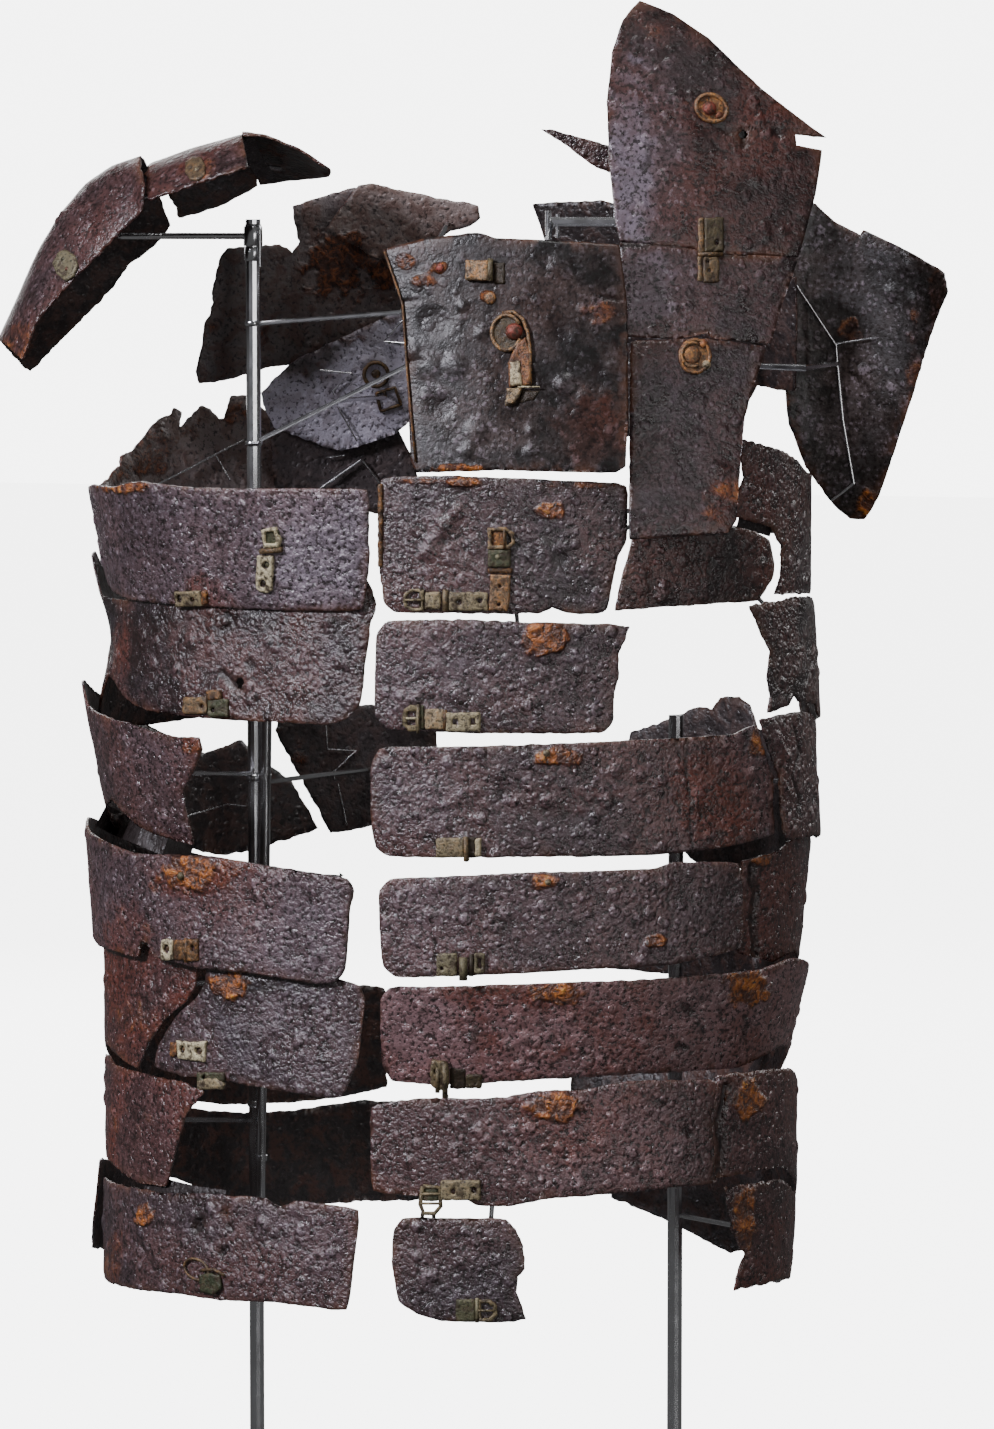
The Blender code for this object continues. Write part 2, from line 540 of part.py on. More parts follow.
# Fittings cut as leaves. Columns: name, plate, centre girth or x, height, leaf width, height, frame
# centre offset, frame width, height (nothing for a plain leaf)
LEAVES = [
    ("r1_hinge", "r1_front", -110, 545.5, 22, 8, None),
    ("r2_hinge", "r2", -99, 491, 30, 8, None),
    ("r4_hinge", "r4", -119, 362.5, 24, 10, None),
    ("r5_hinge", "r5_front", -113, 309, 22, 10, None),
    ("l3_hinge", "l3_front", 46, 423.5, 24, 11, None),
    ("l4_hinge", "l4_front", 45, 364, 26, 12, None),
    ("l5_hinge", "l5", 40, 306, 20, 15, None),
    ("l7_hinge", "l7_front", 55, 186, 21, 10, None),
    ("breast_hinge", "breast_left", 52, 712, 19, 14, None),
    ("shoulder_hinge", "shoulder_left_upper", 157, 733, 11, 16, None),
    ("r1_buckle", "r1_front", -60, 559, 10, 19, (1, 19, 12, 14)),
    ("l2_buckle", "l2_front", 43, 487, 26, 11, (-19, 0, 12, 13)),
    ("l6_buckle", "l6_front", 46, 247, 22, 8, None),
]


def leaf_outline(cx, cz, width, height, frame):
    """Outline and holes of a leaf, with a buckle frame joined at its end if it has one."""
    leaf = box_ring(cx, cz, width, height)
    if frame is None:
        return leaf, []
    ox, oz, fw, fh = frame
    fx = cx + ox
    fz = cz + oz
    hole = [box_ring(fx, fz, fw - 5.0, fh - 5.0)]
    if oz > 0:
        top = cz + height / 2.0
        ring = [(cx - width / 2.0, cz - height / 2.0), (cx + width / 2.0, cz - height / 2.0),
                (cx + width / 2.0, top), (fx + fw / 2.0, fz - fh / 2.0 + 1.0), (fx + fw / 2.0, fz + fh / 2.0),
                (fx - fw / 2.0, fz + fh / 2.0), (fx - fw / 2.0, fz - fh / 2.0 + 1.0), (cx - width / 2.0, top)]
        return ring, hole
    edge = cx - width / 2.0
    ring = [(cx + width / 2.0, cz - height / 2.0), (cx + width / 2.0, cz + height / 2.0),
            (edge, cz + height / 2.0), (fx + fw / 2.0 - 1.0, fz + fh / 2.0), (fx - fw / 2.0, fz + fh / 2.0),
            (fx - fw / 2.0, fz - fh / 2.0), (fx + fw / 2.0 - 1.0, fz - fh / 2.0), (edge, cz - height / 2.0)]
    return ring, hole


def make_rosette(name, surface, cx, cz, radius, stud, height, material, group):
    """A round boss: a dished washer with a domed stud, standing on its plate."""
    centre = surface.place(cx, cz, SEAM + 0.2)
    up = (surface.place(cx, cz, 10.0) - surface.place(cx, cz, 0.0)).normalized()
    side = up.cross(Vector((0.0, 0.0, 1.0))).normalized()
    rise = side.cross(up)
    # Columns: radius, height above the plate
    profile = [(0.0, 0.0), (radius, 0.0), (radius, 1.4), (radius * 0.8, 2.4), (stud * 1.15, 1.4),
               (stud, height * 0.55), (stud * 0.6, height), (0.0, height * 1.08)]
    count = 14
    bm = bmesh.new()
    rings = []
    for r, h in profile:
        spots = count if r > 0 else 1
        ring = []
        for i in range(spots):
            turn = 2.0 * math.pi * i / count
            ring.append(bm.verts.new(centre + up * h + (side * math.cos(turn) + rise * math.sin(turn)) * r))
        rings.append(ring)
    for low, high in zip(rings[:-1], rings[1:]):
        for i in range(count):
            j = (i + 1) % count
            if len(low) == 1:
                bm.faces.new([low[0], high[i], high[j]])
            elif len(high) == 1:
                bm.faces.new([low[i], high[0], low[j]])
            else:
                bm.faces.new([low[i], high[i], high[j], low[j]])
    bmesh.ops.recalc_face_normals(bm, faces=bm.faces[:])
    bmesh.ops.triangulate(bm, faces=bm.faces[:])
    return make_object(name, bm, material, group)


def tube(bm, path, radius, sides=6):
    """A closed round rod along a path of points."""
    points = [Vector(p) for p in path]
    rings = []
    for i, p in enumerate(points):
        before = (p - points[i - 1]).normalized() if i > 0 else (points[1] - p).normalized()
        after = (points[i + 1] - p).normalized() if i + 1 < len(points) else before
        along = (before + after).normalized()
        helper = Vector((0.0, 0.0, 1.0)) if abs(along.z) < 0.9 else Vector((1.0, 0.0, 0.0))
        side = along.cross(helper).normalized()
        up = side.cross(along)
        stretch = 1.0 / max(0.5, along.dot(after))
        turns = [2.0 * math.pi * (k + 0.5) / sides for k in range(sides)]
        rings.append([bm.verts.new(p + (side * math.cos(t) + up * math.sin(t) * stretch) * radius)
                      for t in turns])
    for low, high in zip(rings[:-1], rings[1:]):
        for k in range(sides):
            m = (k + 1) % sides
            bm.faces.new([low[k], low[m], high[m], high[k]])
    bm.faces.new(rings[0][::-1])
    bm.faces.new(rings[-1])


def make_rod(name, path, radius, sides, material, group):
    """One rod of the stand as its own closed body, to be joined to the posts."""
    bm = bmesh.new()
    tube(bm, path, radius, sides)
    bmesh.ops.recalc_face_normals(bm, faces=bm.faces[:])
    return make_object(name, bm, material, group)


def merge_rods(target, rods):
    """Join rods into the frame with exact unions, one group of rods at a time."""
    for rod in rods:
        union = target.modifiers.new(rod.name, "BOOLEAN")
        union.operation = "UNION"
        union.solver = "EXACT"
        union.object = rod


def build():
    """Build every piece of the armour and its stand."""
    clear_scene()
    group = bpy.data.collections.new(COLLECTION)
    bpy.context.scene.collection.children.link(group)
    helpers = bpy.data.collections.new("helpers")
    bpy.context.scene.collection.children.link(helpers)

    iron = make_material("iron", (0.09, 0.07, 0.075), 0.35, 0.55)
    bronze = make_material("bronze", (0.36, 0.31, 0.20), 0.6, 0.5)
    steel = make_material("steel", (0.52, 0.53, 0.54), 0.95, 0.3)

    surfaces = {name: HoopSurface(*row) for name, row in HOOPS.items()}
    surfaces.update({name: PanelSurface(*row) for name, row in PANELS.items()})
    outlines = dict(GIRDLE)
    outlines.update(UPPER)
    for name, outline in outlines.items():
        holes = [circle(s, z, r, 6) for plate, s, z, r in RUST_HOLES if plate == name]
        make_sheet(name, surfaces[name], outline, holes, WALL, 0.0, iron, group)
    for name, sections in STRAPS.items():
        make_loft(name, sections, 6, 2, iron, group)

    for name, plate, cx, cz, width, height, frame in LEAVES:
        ring, holes = leaf_outline(cx, cz, width, height, frame)
        make_sheet(name, surfaces[plate], ring, holes, FITTING_WALL, SEAM + FITTING_WALL, bronze, group, 0.8)
    # Breast buckle of two leaves set square to each other, with a frame at each free end
    corner = [(16, 543), (61, 543), (61, 545), (71, 545), (71, 569), (75, 569), (75, 586), (60, 586),
              (60, 569), (61, 569), (61, 552), (29, 552), (28, 554), (16, 554)]
    frames = [box_ring(22, 548.5, 7, 6), box_ring(67.5, 577.5, 9, 10)]
    make_sheet("l1_buckle", surfaces["l1_front"], corner, frames, FITTING_WALL, SEAM + FITTING_WALL,
               bronze, group, 0.8)
    # Breast rosette with the hook that hangs from it
    disc = circle(67, 684, 10.0, 14, math.radians(-64))
    hook = disc + [(64, 674), (66, 660), (65, 648), (74, 645), (81, 652), (76, 664), (71, 675)]
    make_sheet("breast_hook", surfaces["breast_left"], hook, [], 2.4, SEAM + 2.4, bronze, group, 0.8)
    make_rosette("shoulder_rosette", surfaces["shoulder_left_upper"], 155.5, 797, 10.0, 5.0, 5.5,
                 bronze, group)
    make_rosette("shoulder_disc", surfaces["shoulder_left_front"], 154.5, 669, 9.5, 3.0, 3.2, bronze, group)

    base = bmesh.new()
    bmesh.ops.create_cube(base, size=1.0)
    for v in base.verts:
        v.co = Vector((v.co.x * BASE_SIZE[0], v.co.y * BASE_SIZE[1],
                       (v.co.z + 0.5) * BASE_SIZE[2] - ZERO_HEIGHT))
    make_object("stand_base", base, steel, group)
    plate = bpy.data.objects["stand_base"]
    bevel = plate.modifiers.new("edge", "BEVEL")
    bevel.width = 1.5 * MM
    bevel.segments = 2
    bevel.limit_method = "ANGLE"

    foot = BASE_SIZE[2] - ZERO_HEIGHT + SEAM
    frame = make_rod("stand_frame", [(POST_X, POST_Y, foot), (POST_X, POST_Y, SHORT_POST_TOP)], POST_RADIUS, 12,
                     steel, group)
    rods = [make_rod("post_right", [(-POST_X, POST_Y, foot), (-POST_X, POST_Y, POST_TOP)], POST_RADIUS, 12,
                     steel, helpers)]
    rods.append(make_rod("stub_post", [(POST_X, POST_Y, STUB[0]), (POST_X, POST_Y, STUB[1])], POST_RADIUS, 12,
                         steel, helpers))
    rods.append(make_rod("neck_bar", BAR, 2.6, 8, steel, helpers))
    for i, path in enumerate(CROSS_RODS):
        rods.append(make_rod("cross_rod_" + str(i), path, ARM_RADIUS, 8, steel, helpers))
    for i, (plate, sx, sy, sz, u, v) in enumerate(ARMS):
        surface = surfaces[plate]
        knee = surface.place(u, v, -(WALL + 9.0))
        end = surface.place(u, v, -(WALL + ARM_GAP))
        bend = [BENDS[plate]] if plate in BENDS else []
        path = [(sx, sy, sz)] + bend + [knee, end]
        rods.append(make_rod("arm_" + plate, path, ARM_RADIUS, 6, steel, helpers))
    for i, path in enumerate(STRAP_ARMS):
        rods.append(make_rod("strap_arm_" + str(i), path, ARM_RADIUS, 6, steel, helpers))
    # The posts meet through a tie behind the hem, so that the frame is one body
    rods.append(make_rod("tie", [(-POST_X, POST_Y, foot + 12), (POST_X, POST_Y, foot + 12)], 3.0, 8,
                         steel, helpers))
    for rod in rods:
        rod.hide_render = True
        rod.display_type = "WIRE"
    merge_rods(frame, rods)


build()
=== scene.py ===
"""A corroded, incomplete segmented iron cuirass on a rod display stand.

Each iron plate is made again from its solid with a fine skin of blisters, pits, flaking layers and ragged
edges. Hinges, buckles and bosses are made in detail where the solids have them, with a few small ones more,
and the stand gets its clamps and thin ties.
"""
import math

import bmesh
import bpy
import numpy as np
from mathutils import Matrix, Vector
from mathutils.bvhtree import BVHTree
from mathutils.geometry import delaunay_2d_cdt
from mathutils.kdtree import KDTree


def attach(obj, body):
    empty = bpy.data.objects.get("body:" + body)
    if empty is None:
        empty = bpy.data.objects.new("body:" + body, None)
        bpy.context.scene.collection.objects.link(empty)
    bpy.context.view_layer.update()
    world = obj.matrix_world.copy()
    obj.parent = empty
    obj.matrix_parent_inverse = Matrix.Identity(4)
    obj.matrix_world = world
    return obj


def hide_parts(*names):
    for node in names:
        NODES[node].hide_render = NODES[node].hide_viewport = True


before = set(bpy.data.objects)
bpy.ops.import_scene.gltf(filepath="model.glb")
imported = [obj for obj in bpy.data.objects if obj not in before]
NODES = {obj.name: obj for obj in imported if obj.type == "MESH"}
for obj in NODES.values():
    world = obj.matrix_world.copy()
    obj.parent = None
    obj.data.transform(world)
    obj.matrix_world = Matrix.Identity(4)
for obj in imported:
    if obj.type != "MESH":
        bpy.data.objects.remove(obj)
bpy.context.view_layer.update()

MM = 0.001

# Photograph's frame and camera
PHOTO_WIDE = 994.0
PHOTO_HIGH = 1429.0
AZIMUTH = 17.0
ELEVATION = 5.0
DISTANCE = 3.2
FOCAL_PX = 6022.0
SENSOR = 36.0
AIM_ACROSS = 0.0239
AIM_HEIGHT = 0.508

turn = math.radians(AZIMUTH)
rise = math.radians(ELEVATION)
BACK = Vector((math.sin(turn) * math.cos(rise), -math.cos(turn) * math.cos(rise), math.sin(rise)))
RIGHT = Vector((math.cos(turn), math.sin(turn), 0.0))
UP = BACK.cross(RIGHT)
AIM = RIGHT * AIM_ACROSS + Vector((0.0, 0.0, AIM_HEIGHT))
EYE = AIM + BACK * DISTANCE


def make_camera():
    """The camera at the photograph's viewing angle."""
    data = bpy.data.cameras.new("camera")
    data.sensor_width = SENSOR
    data.lens = FOCAL_PX * SENSOR / PHOTO_HIGH
    data.clip_start = 0.05
    data.clip_end = 60.0
    camera = bpy.data.objects.new("camera", data)
    bpy.context.scene.collection.objects.link(camera)
    camera.location = EYE
    camera.rotation_mode = "QUATERNION"
    camera.rotation_quaternion = (-BACK).to_track_quat("-Z", "Y")
    bpy.context.scene.camera = camera


make_camera()


def pixel_of(points):
    """Column and row of points (in metres) in the photograph's frame."""
    off = points - np.array(EYE)
    depth = -(off @ np.array(BACK))
    across = off @ np.array(RIGHT) / depth * FOCAL_PX + PHOTO_WIDE / 2.0
    down = PHOTO_HIGH / 2.0 - off @ np.array(UP) / depth * FOCAL_PX
    return across, down


def ray_through(column, row):
    """Direction from the camera through a pixel of the photograph."""
    across = (column - PHOTO_WIDE / 2.0) / FOCAL_PX
    up = (PHOTO_HIGH / 2.0 - row) / FOCAL_PX
    return (RIGHT * across + UP * up - BACK).normalized()


# Brings the sum of a noise's slopes to about -1 to 1
NOISE_GAIN = 1.7


class Noise:
    """Seeded smooth noise in space, about -1 to 1."""

    def __init__(self, seed):
        rng = np.random.default_rng(seed)
        slopes = rng.normal(size=(256, 3))
        self.slopes = slopes / np.linalg.norm(slopes, axis=1)[:, None]
        self.order = rng.permutation(256)

    def at(self, points, size):
        """Noise at points in metres, with lumps about size mm across."""
        spots = points / (size * MM)
        cell = np.floor(spots).astype(np.int64)
        part = spots - cell
        ease = part ** 3 * (part * (part * 6.0 - 15.0) + 10.0)
        total = np.zeros(len(points))
        for corner in range(8):
            step = np.array([corner & 1, (corner >> 1) & 1, (corner >> 2) & 1])
            here = cell + step
            pick = self.order[here[:, 0] & 255]
            pick = self.order[(pick + here[:, 1]) & 255]
            pick = self.order[(pick + here[:, 2]) & 255]
            weight = np.prod(np.where(step == 1, ease, 1.0 - ease), axis=1)
            total += weight * np.sum(self.slopes[pick] * (part - step), axis=1)
        return total * NOISE_GAIN


WAVES = Noise(11)
LUMPS = Noise(23)
GRAIN = Noise(37)
EDGES = Noise(41)
TONES = Noise(59)


def ease(t):
    """Smooth step from 0 to 1, for arrays."""
    t = np.clip(t, 0.0, 1.0)
    return t * t * (3.0 - 2.0 * t)


class Solid:
    """A CAD node's welded triangles, and rays against them."""

    def __init__(self, name):
        bm = bmesh.new()
        bm.from_mesh(NODES[name].data)
        bmesh.ops.remove_doubles(bm, verts=bm.verts[:], dist=2e-6)
        bmesh.ops.triangulate(bm, faces=bm.faces[:])
        bm.verts.index_update()
        bm.normal_update()
        self.points = np.array([v.co[:] for v in bm.verts])
        self.tris = np.array([[v.index for v in f.verts] for f in bm.faces])
        self.face_normals = np.array([f.normal[:] for f in bm.faces])
        self.tree = BVHTree.FromBMesh(bm)
        bm.free()

    def hit(self, column, row):
        """Where a ray through a pixel first meets the node, and the face's normal."""
        found = self.tree.ray_cast(EYE, ray_through(column, row))
        if found[0] is None:
            near = self.tree.find_nearest(EYE + ray_through(column, row) * (EYE - AIM).length)
            return near[0], near[1]
        return found[0], found[1]


SOLIDS = {}


def solid(name):
    """The node's Solid, made once."""
    if name not in SOLIDS:
        SOLIDS[name] = Solid(name)
    return SOLIDS[name]


# Kinds of triangle on a plate
OUTER, INNER, RIM = 0, 1, 2
SKIN_DEPTH = 3.0
CENTRE = np.array([0.0, 0.0, 0.5])


def sort_faces(plate):
    """Kind of each triangle: a skin has the other skin close behind it, the rim has not."""
    kinds = np.full(len(plate.tris), RIM)
    middles = plate.points[plate.tris].mean(axis=1)
    for i, (middle, normal) in enumerate(zip(middles, plate.face_normals)):
        start = Vector(middle - normal * 1e-5)
        found = plate.tree.ray_cast(start, Vector(-normal), SKIN_DEPTH * MM)
        if found[0] is not None:
            kinds[i] = OUTER if normal @ (middle - CENTRE) > 0 else INNER
    return kinds


def skin_normals(points, tris, kinds):
    """Area-weighted normals at the points, from the skins alone."""
    flat = np.cross(points[tris[:, 1]] - points[tris[:, 0]], points[tris[:, 2]] - points[tris[:, 0]])
    flat[kinds == RIM] = 0.0
    total = np.zeros_like(points)
    for corner in range(3):
        np.add.at(total, tris[:, corner], flat)
    size = np.linalg.norm(total, axis=1)
    return total / np.maximum(size, 1e-12)[:, None]


# How a triangle is cut: its corners are 0 to 2, and 3 to 5 are the middles of the edges that start there
ONE_CUT = [(0, 3, 2), (3, 1, 2)]
TWO_CUTS = [(3, 1, 4), (0, 3, 4), (0, 4, 2)]
ALL_CUT = [(0, 3, 5), (3, 1, 4), (5, 4, 2), (3, 4, 5)]
# Columns: sum of 1, 2 and 4 for the edges that are cut, turns that bring the first of them first, the parts
CUTS = [(1, 0, ONE_CUT), (2, 1, ONE_CUT), (4, 2, ONE_CUT), (3, 0, TWO_CUTS), (6, 1, TWO_CUTS),
        (5, 2, TWO_CUTS), (7, 0, ALL_CUT)]
SAME_SKIN = 1.2
CURVE_SHARE = 0.25


def refine(points, normals, tris, kinds, limits, rounds=8):
    """Halve each edge longer than its limit until none is left, rounding the new points to the curve."""
    for _ in range(rounds):
        ends = np.sort(tris[:, [0, 1, 1, 2, 2, 0]].reshape(-1, 2), axis=1)
        keys, place = np.unique(ends[:, 0] * np.int64(len(points)) + ends[:, 1], return_inverse=True)
        first = keys // len(points)
        second = keys % len(points)
        limit = np.full(len(keys), 1.0)
        np.minimum.at(limit, place, np.repeat(limits[kinds], 3))
        split = np.linalg.norm(points[first] - points[second], axis=1) > limit
        if not split.any():
            break
        first = first[split]
        second = second[split]
        middle = (points[first] + points[second]) / 2.0
        lean = np.zeros_like(middle)
        for end in (first, second):
            lean += np.sum((middle - points[end]) * normals[end], axis=1)[:, None] * normals[end]
        blend = normals[first] + normals[second]
        size = np.linalg.norm(blend, axis=1)[:, None]
        whole = size > SAME_SKIN
        middle -= np.where(whole, CURVE_SHARE * lean, 0.0)
        number = np.full(len(keys), -1)
        number[split] = len(points) + np.arange(len(middle))
        points = np.vstack([points, middle])
        normals = np.vstack([normals, np.where(whole, blend / np.maximum(size, 1e-9), 0.0)])
        cut = split[place].reshape(-1, 3)
        mids = number[place].reshape(-1, 3)
        code = cut @ np.array([1, 2, 4])
        new_tris = [tris[code == 0]]
        new_kinds = [kinds[code == 0]]
        for want, spin, parts in CUTS:
            rows = code == want
            six = np.hstack([np.roll(tris[rows], -spin, axis=1), np.roll(mids[rows], -spin, axis=1)])
            for part in parts:
                new_tris.append(six[:, part])
                new_kinds.append(kinds[rows])
        tris = np.vstack(new_tris)
        kinds = np.concatenate(new_kinds)
    return points, normals, tris, kinds


def mesh_object(name, points, faces, material, smooth=True):
    """A mesh object from arrays, at the origin."""
    mesh = bpy.data.meshes.new(name)
    mesh.from_pydata([tuple(p) for p in points], [], [tuple(f) for f in faces])
    mesh.materials.append(material)
    mesh.polygons.foreach_set("use_smooth", [smooth] * len(mesh.polygons))
    mesh.update()
    ob = bpy.data.objects.new(name, mesh)
    bpy.context.scene.collection.objects.link(ob)
    return ob


def turn_outward(ob, sharp=0.0):
    """Turn all faces outward, and mark the edges that bend by more than an angle, if one is given."""
    bm = bmesh.new()
    bm.from_mesh(ob.data)
    bmesh.ops.recalc_face_normals(bm, faces=bm.faces[:])
    for edge in bm.edges if sharp else ():
        edge.smooth = len(edge.link_faces) == 2 and edge.calc_face_angle(0.0) < sharp
    bm.to_mesh(ob.data)
    bm.free()


def set_field(ob, name, values):
    """Store one number a point for the material to read."""
    field = ob.data.attributes.new(name, "FLOAT", "POINT")
    field.data.foreach_set("value", np.asarray(values, dtype=np.float32))


def search_tree(points):
    """A search tree over points, numbered in their order."""
    tree = KDTree(len(points))
    for i, p in enumerate(points):
        tree.insert(p, i)
    tree.balance()
    return tree


class Graph:
    """A procedural material and short ways to add its nodes."""

    def __init__(self, name):
        self.material = bpy.data.materials.new(name)
        self.material.use_nodes = True
        self.tree = self.material.node_tree
        self.shader = self.tree.nodes["Principled BSDF"]
        self.place = self.tree.nodes.new("ShaderNodeTexCoord").outputs["Object"]

    def put(self, value, socket):
        """Link an output to a socket, or set the socket to a number or colour."""
        if isinstance(value, bpy.types.NodeSocket):
            self.tree.links.new(value, socket)
        elif isinstance(value, tuple) and len(value) == 3 and socket.type == "RGBA":
            socket.default_value = (*value, 1.0)
        else:
            socket.default_value = value

    def node(self, kind, output, inputs, **settings):
        """Add a node with its settings and inputs, and give one of its outputs."""
        node = self.tree.nodes.new("ShaderNode" + kind)
        for key, value in settings.items():
            setattr(node, key, value)
        for key, value in inputs.items():
            self.put(value, node.inputs[key])
        return node.outputs[output]

    def noise(self, size, detail=3.0, rough=0.55, swirl=0.0):
        """Noise with features about size mm across."""
        return self.node("TexNoise", "Fac", {"Vector": self.place, "Scale": 1.0 / (size * MM),
                                             "Detail": detail, "Roughness": rough, "Distortion": swirl})

    def domes(self, size, least, most):
        """Height in mm of round domes of mixed size, in cells about size mm across."""
        colour = self.node("TexVoronoi", "Color", {"Vector": self.place, "Scale": 1.0 / (size * MM)})
        chance = self.node("SeparateColor", 0, {0: colour})
        radius = self.step("MAXIMUM", self.span(chance, 0.0, 1.0, least, most), 0.01)
        away = self.step("DIVIDE", colour.node.outputs["Distance"], radius)
        dome = self.step("SUBTRACT", 1.0, self.times(away, away), True)
        return self.times(self.step("POWER", dome, 0.8), self.times(radius, size))

    def field(self, name):
        """A number stored on the mesh's points."""
        return self.node("Attribute", "Fac", {}, attribute_name=name)

    def step(self, kind, a, b, clamp=False):
        """One step of arithmetic."""
        return self.node("Math", 0, {0: a, 1: b}, operation=kind, use_clamp=clamp)

    def plus(self, a, b, clamp=False):
        """Their sum."""
        return self.step("ADD", a, b, clamp)

    def times(self, a, b):
        """Their product."""
        return self.step("MULTIPLY", a, b)

    def stir(self, value, noise, share, clamp=False):
        """A value moved up and down by a share of a noise about 0.5."""
        return self.plus(value, self.times(self.step("SUBTRACT", noise, 0.5), share), clamp)

    def span(self, value, low, high, to_low=0.0, to_high=1.0):
        """Carry a range of values smoothly to another."""
        return self.node("MapRange", "Result", {"Value": value, "From Min": low, "From Max": high,
                                                "To Min": to_low, "To Max": to_high},
                         interpolation_type="SMOOTHSTEP")

    def mix(self, factor, a, b, blend="MIX"):
        """Mix two colours."""
        return self.node("Mix", 2, {0: factor, 6: a, 7: b}, data_type="RGBA", blend_type=blend)

    def lay(self, colour, tint, value, *limits):
        """Lay a tint over a colour as a value goes through its limits."""
        return self.mix(self.span(value, *limits), colour, tint)

    def bump(self, height, depth, strength=1.0):
        """Raise the surface's normal by a height, depth mm at most."""
        return self.node("Bump", "Normal", {"Height": height, "Distance": depth * MM, "Strength": strength})

    def finish(self, colour, rough, normal, metallic=0.0, specular=0.5, coat=0.0, coat_rough=0.2):
        """Wire the shader."""
        sockets = ("Base Color", "Roughness", "Normal", "Metallic", "Specular IOR Level", "Coat Weight",
                   "Coat Roughness")
        for socket, value in zip(sockets, (colour, rough, normal, metallic, specular, coat, coat_rough)):
            self.put(value, self.shader.inputs[socket])
        return self.material


def make_iron(name, palette, specular, least_rough, grain):
    """Waxed, corroded iron: dark to pale by tone, with domed blisters, orange rust, pale worn tops that are
    also a painted highlight, painted glints on the grain and painted shade in the hollows.
    """
    dark, plum, pale, blue_tint, red_tint = palette
    g = Graph(name)
    broad = g.noise(60.0, 3.0, 0.55, 0.4)
    middling = g.noise(13.0, 4.0, 0.6, 0.6)
    mottle = g.noise(6.5, 3.0, 0.6, 0.5)
    fine = g.noise(2.1, 3.0, 0.60)
    speck = g.noise(1.1, 2.0, 0.6)
    big = g.domes(8.0, -0.25, 0.48)
    small = g.domes(3.1, -0.05, 0.60)
    tone = g.stir(g.stir(g.field("tone"), broad, 0.6), middling, 0.5, True)
    colour = g.lay(dark, plum, tone, -0.1, 0.55)
    colour = g.lay(colour, pale, tone, 0.42, 1.10)
    blue = g.times(g.field("blue"), g.span(middling, 0.36, 0.62))
    colour = g.mix(g.times(blue, 0.7), colour, blue_tint)
    reddish = g.span(g.plus(broad, g.times(middling, 0.5)), 0.62, 0.94)
    colour = g.mix(g.times(g.field("red"), reddish), colour, red_tint)
    # Tops of the domes and the raised relief are paled: wear, and a painted highlight as well
    tops = g.plus(g.span(big, 0.6, 2.6), g.span(small, 0.35, 1.3), True)
    worn = g.times(g.plus(tops, g.span(g.field("relief"), 0.2, 1.2), True), g.span(fine, 0.38, 0.62))
    worn = g.times(worn, g.span(tone, 0.0, 0.6, 0.10, 0.45))
    colour = g.mix(worn, colour, (0.290, 0.235, 0.275))
    # Hollows of the relief are darkened nearly to black: painted shade
    hollow_shade = g.span(g.field("relief"), -0.8, 0.0, 1.0, 0.0)
    colour = g.mix(g.times(hollow_shade, 0.75), colour, (0.012, 0.007, 0.007))
    # Pale flecks on the tops of the fine grain: painted glints
    glint_flecks = g.times(g.span(fine, 0.58, 0.72), g.span(tone, 0.0, 0.6, 0.12, 0.60))
    colour = g.mix(glint_flecks, colour, (0.230, 0.185, 0.220))
    colour = g.lay(colour, dark, mottle, 0.47, 0.33, 0.0, 0.65)
    # Low spots of the fine grain, which is also in the bump, are darkened: painted shade in its hollows
    colour = g.lay(colour, (0.009, 0.005, 0.005), fine, 0.50, 0.38, 0.0, 0.9)
    warmth = g.step("SUBTRACT", g.field("red"), g.times(g.field("blue"), 0.5))
    colour = g.mix(g.span(warmth, 0.25, 1.0), colour, (1.10, 0.77, 0.68), "MULTIPLY")
    edge = g.times(g.field("rim"), g.span(middling, 0.40, 0.58))
    colour = g.mix(g.times(edge, 0.75), colour, (0.130, 0.050, 0.024))
    rust = g.span(g.stir(g.field("rust"), middling, 0.9), 0.22, 0.80)
    heat = g.noise(6.5, 4.0, 0.62, 0.8)
    ember = g.lay((0.080, 0.020, 0.006), (0.46, 0.130, 0.016), heat, 0.42, 0.62)
    ember = g.lay(ember, (0.74, 0.33, 0.050), heat, 0.58, 0.72)
    ember = g.lay(ember, (0.82, 0.50, 0.19), speck, 0.62, 0.80, 0.0, 0.8)
    ember = g.lay(ember, (0.030, 0.011, 0.006), fine, 0.45, 0.34)
    colour = g.mix(rust, colour, ember)
    gloss = g.span(middling, 0.3, 0.7, least_rough, least_rough + 0.14)
    rough = g.plus(gloss, g.times(rust, 0.20), True)
    height = g.plus(g.times(big, 0.32), g.times(small, 0.32))
    height = g.plus(height, g.times(fine, 1.15))
    height = g.plus(height, g.times(speck, 0.12))
    height = g.plus(g.times(height, grain), g.times(g.times(heat, rust), 2.6))
    return g.finish(colour, rough, g.bump(height, 1.0), 0.0, specular)


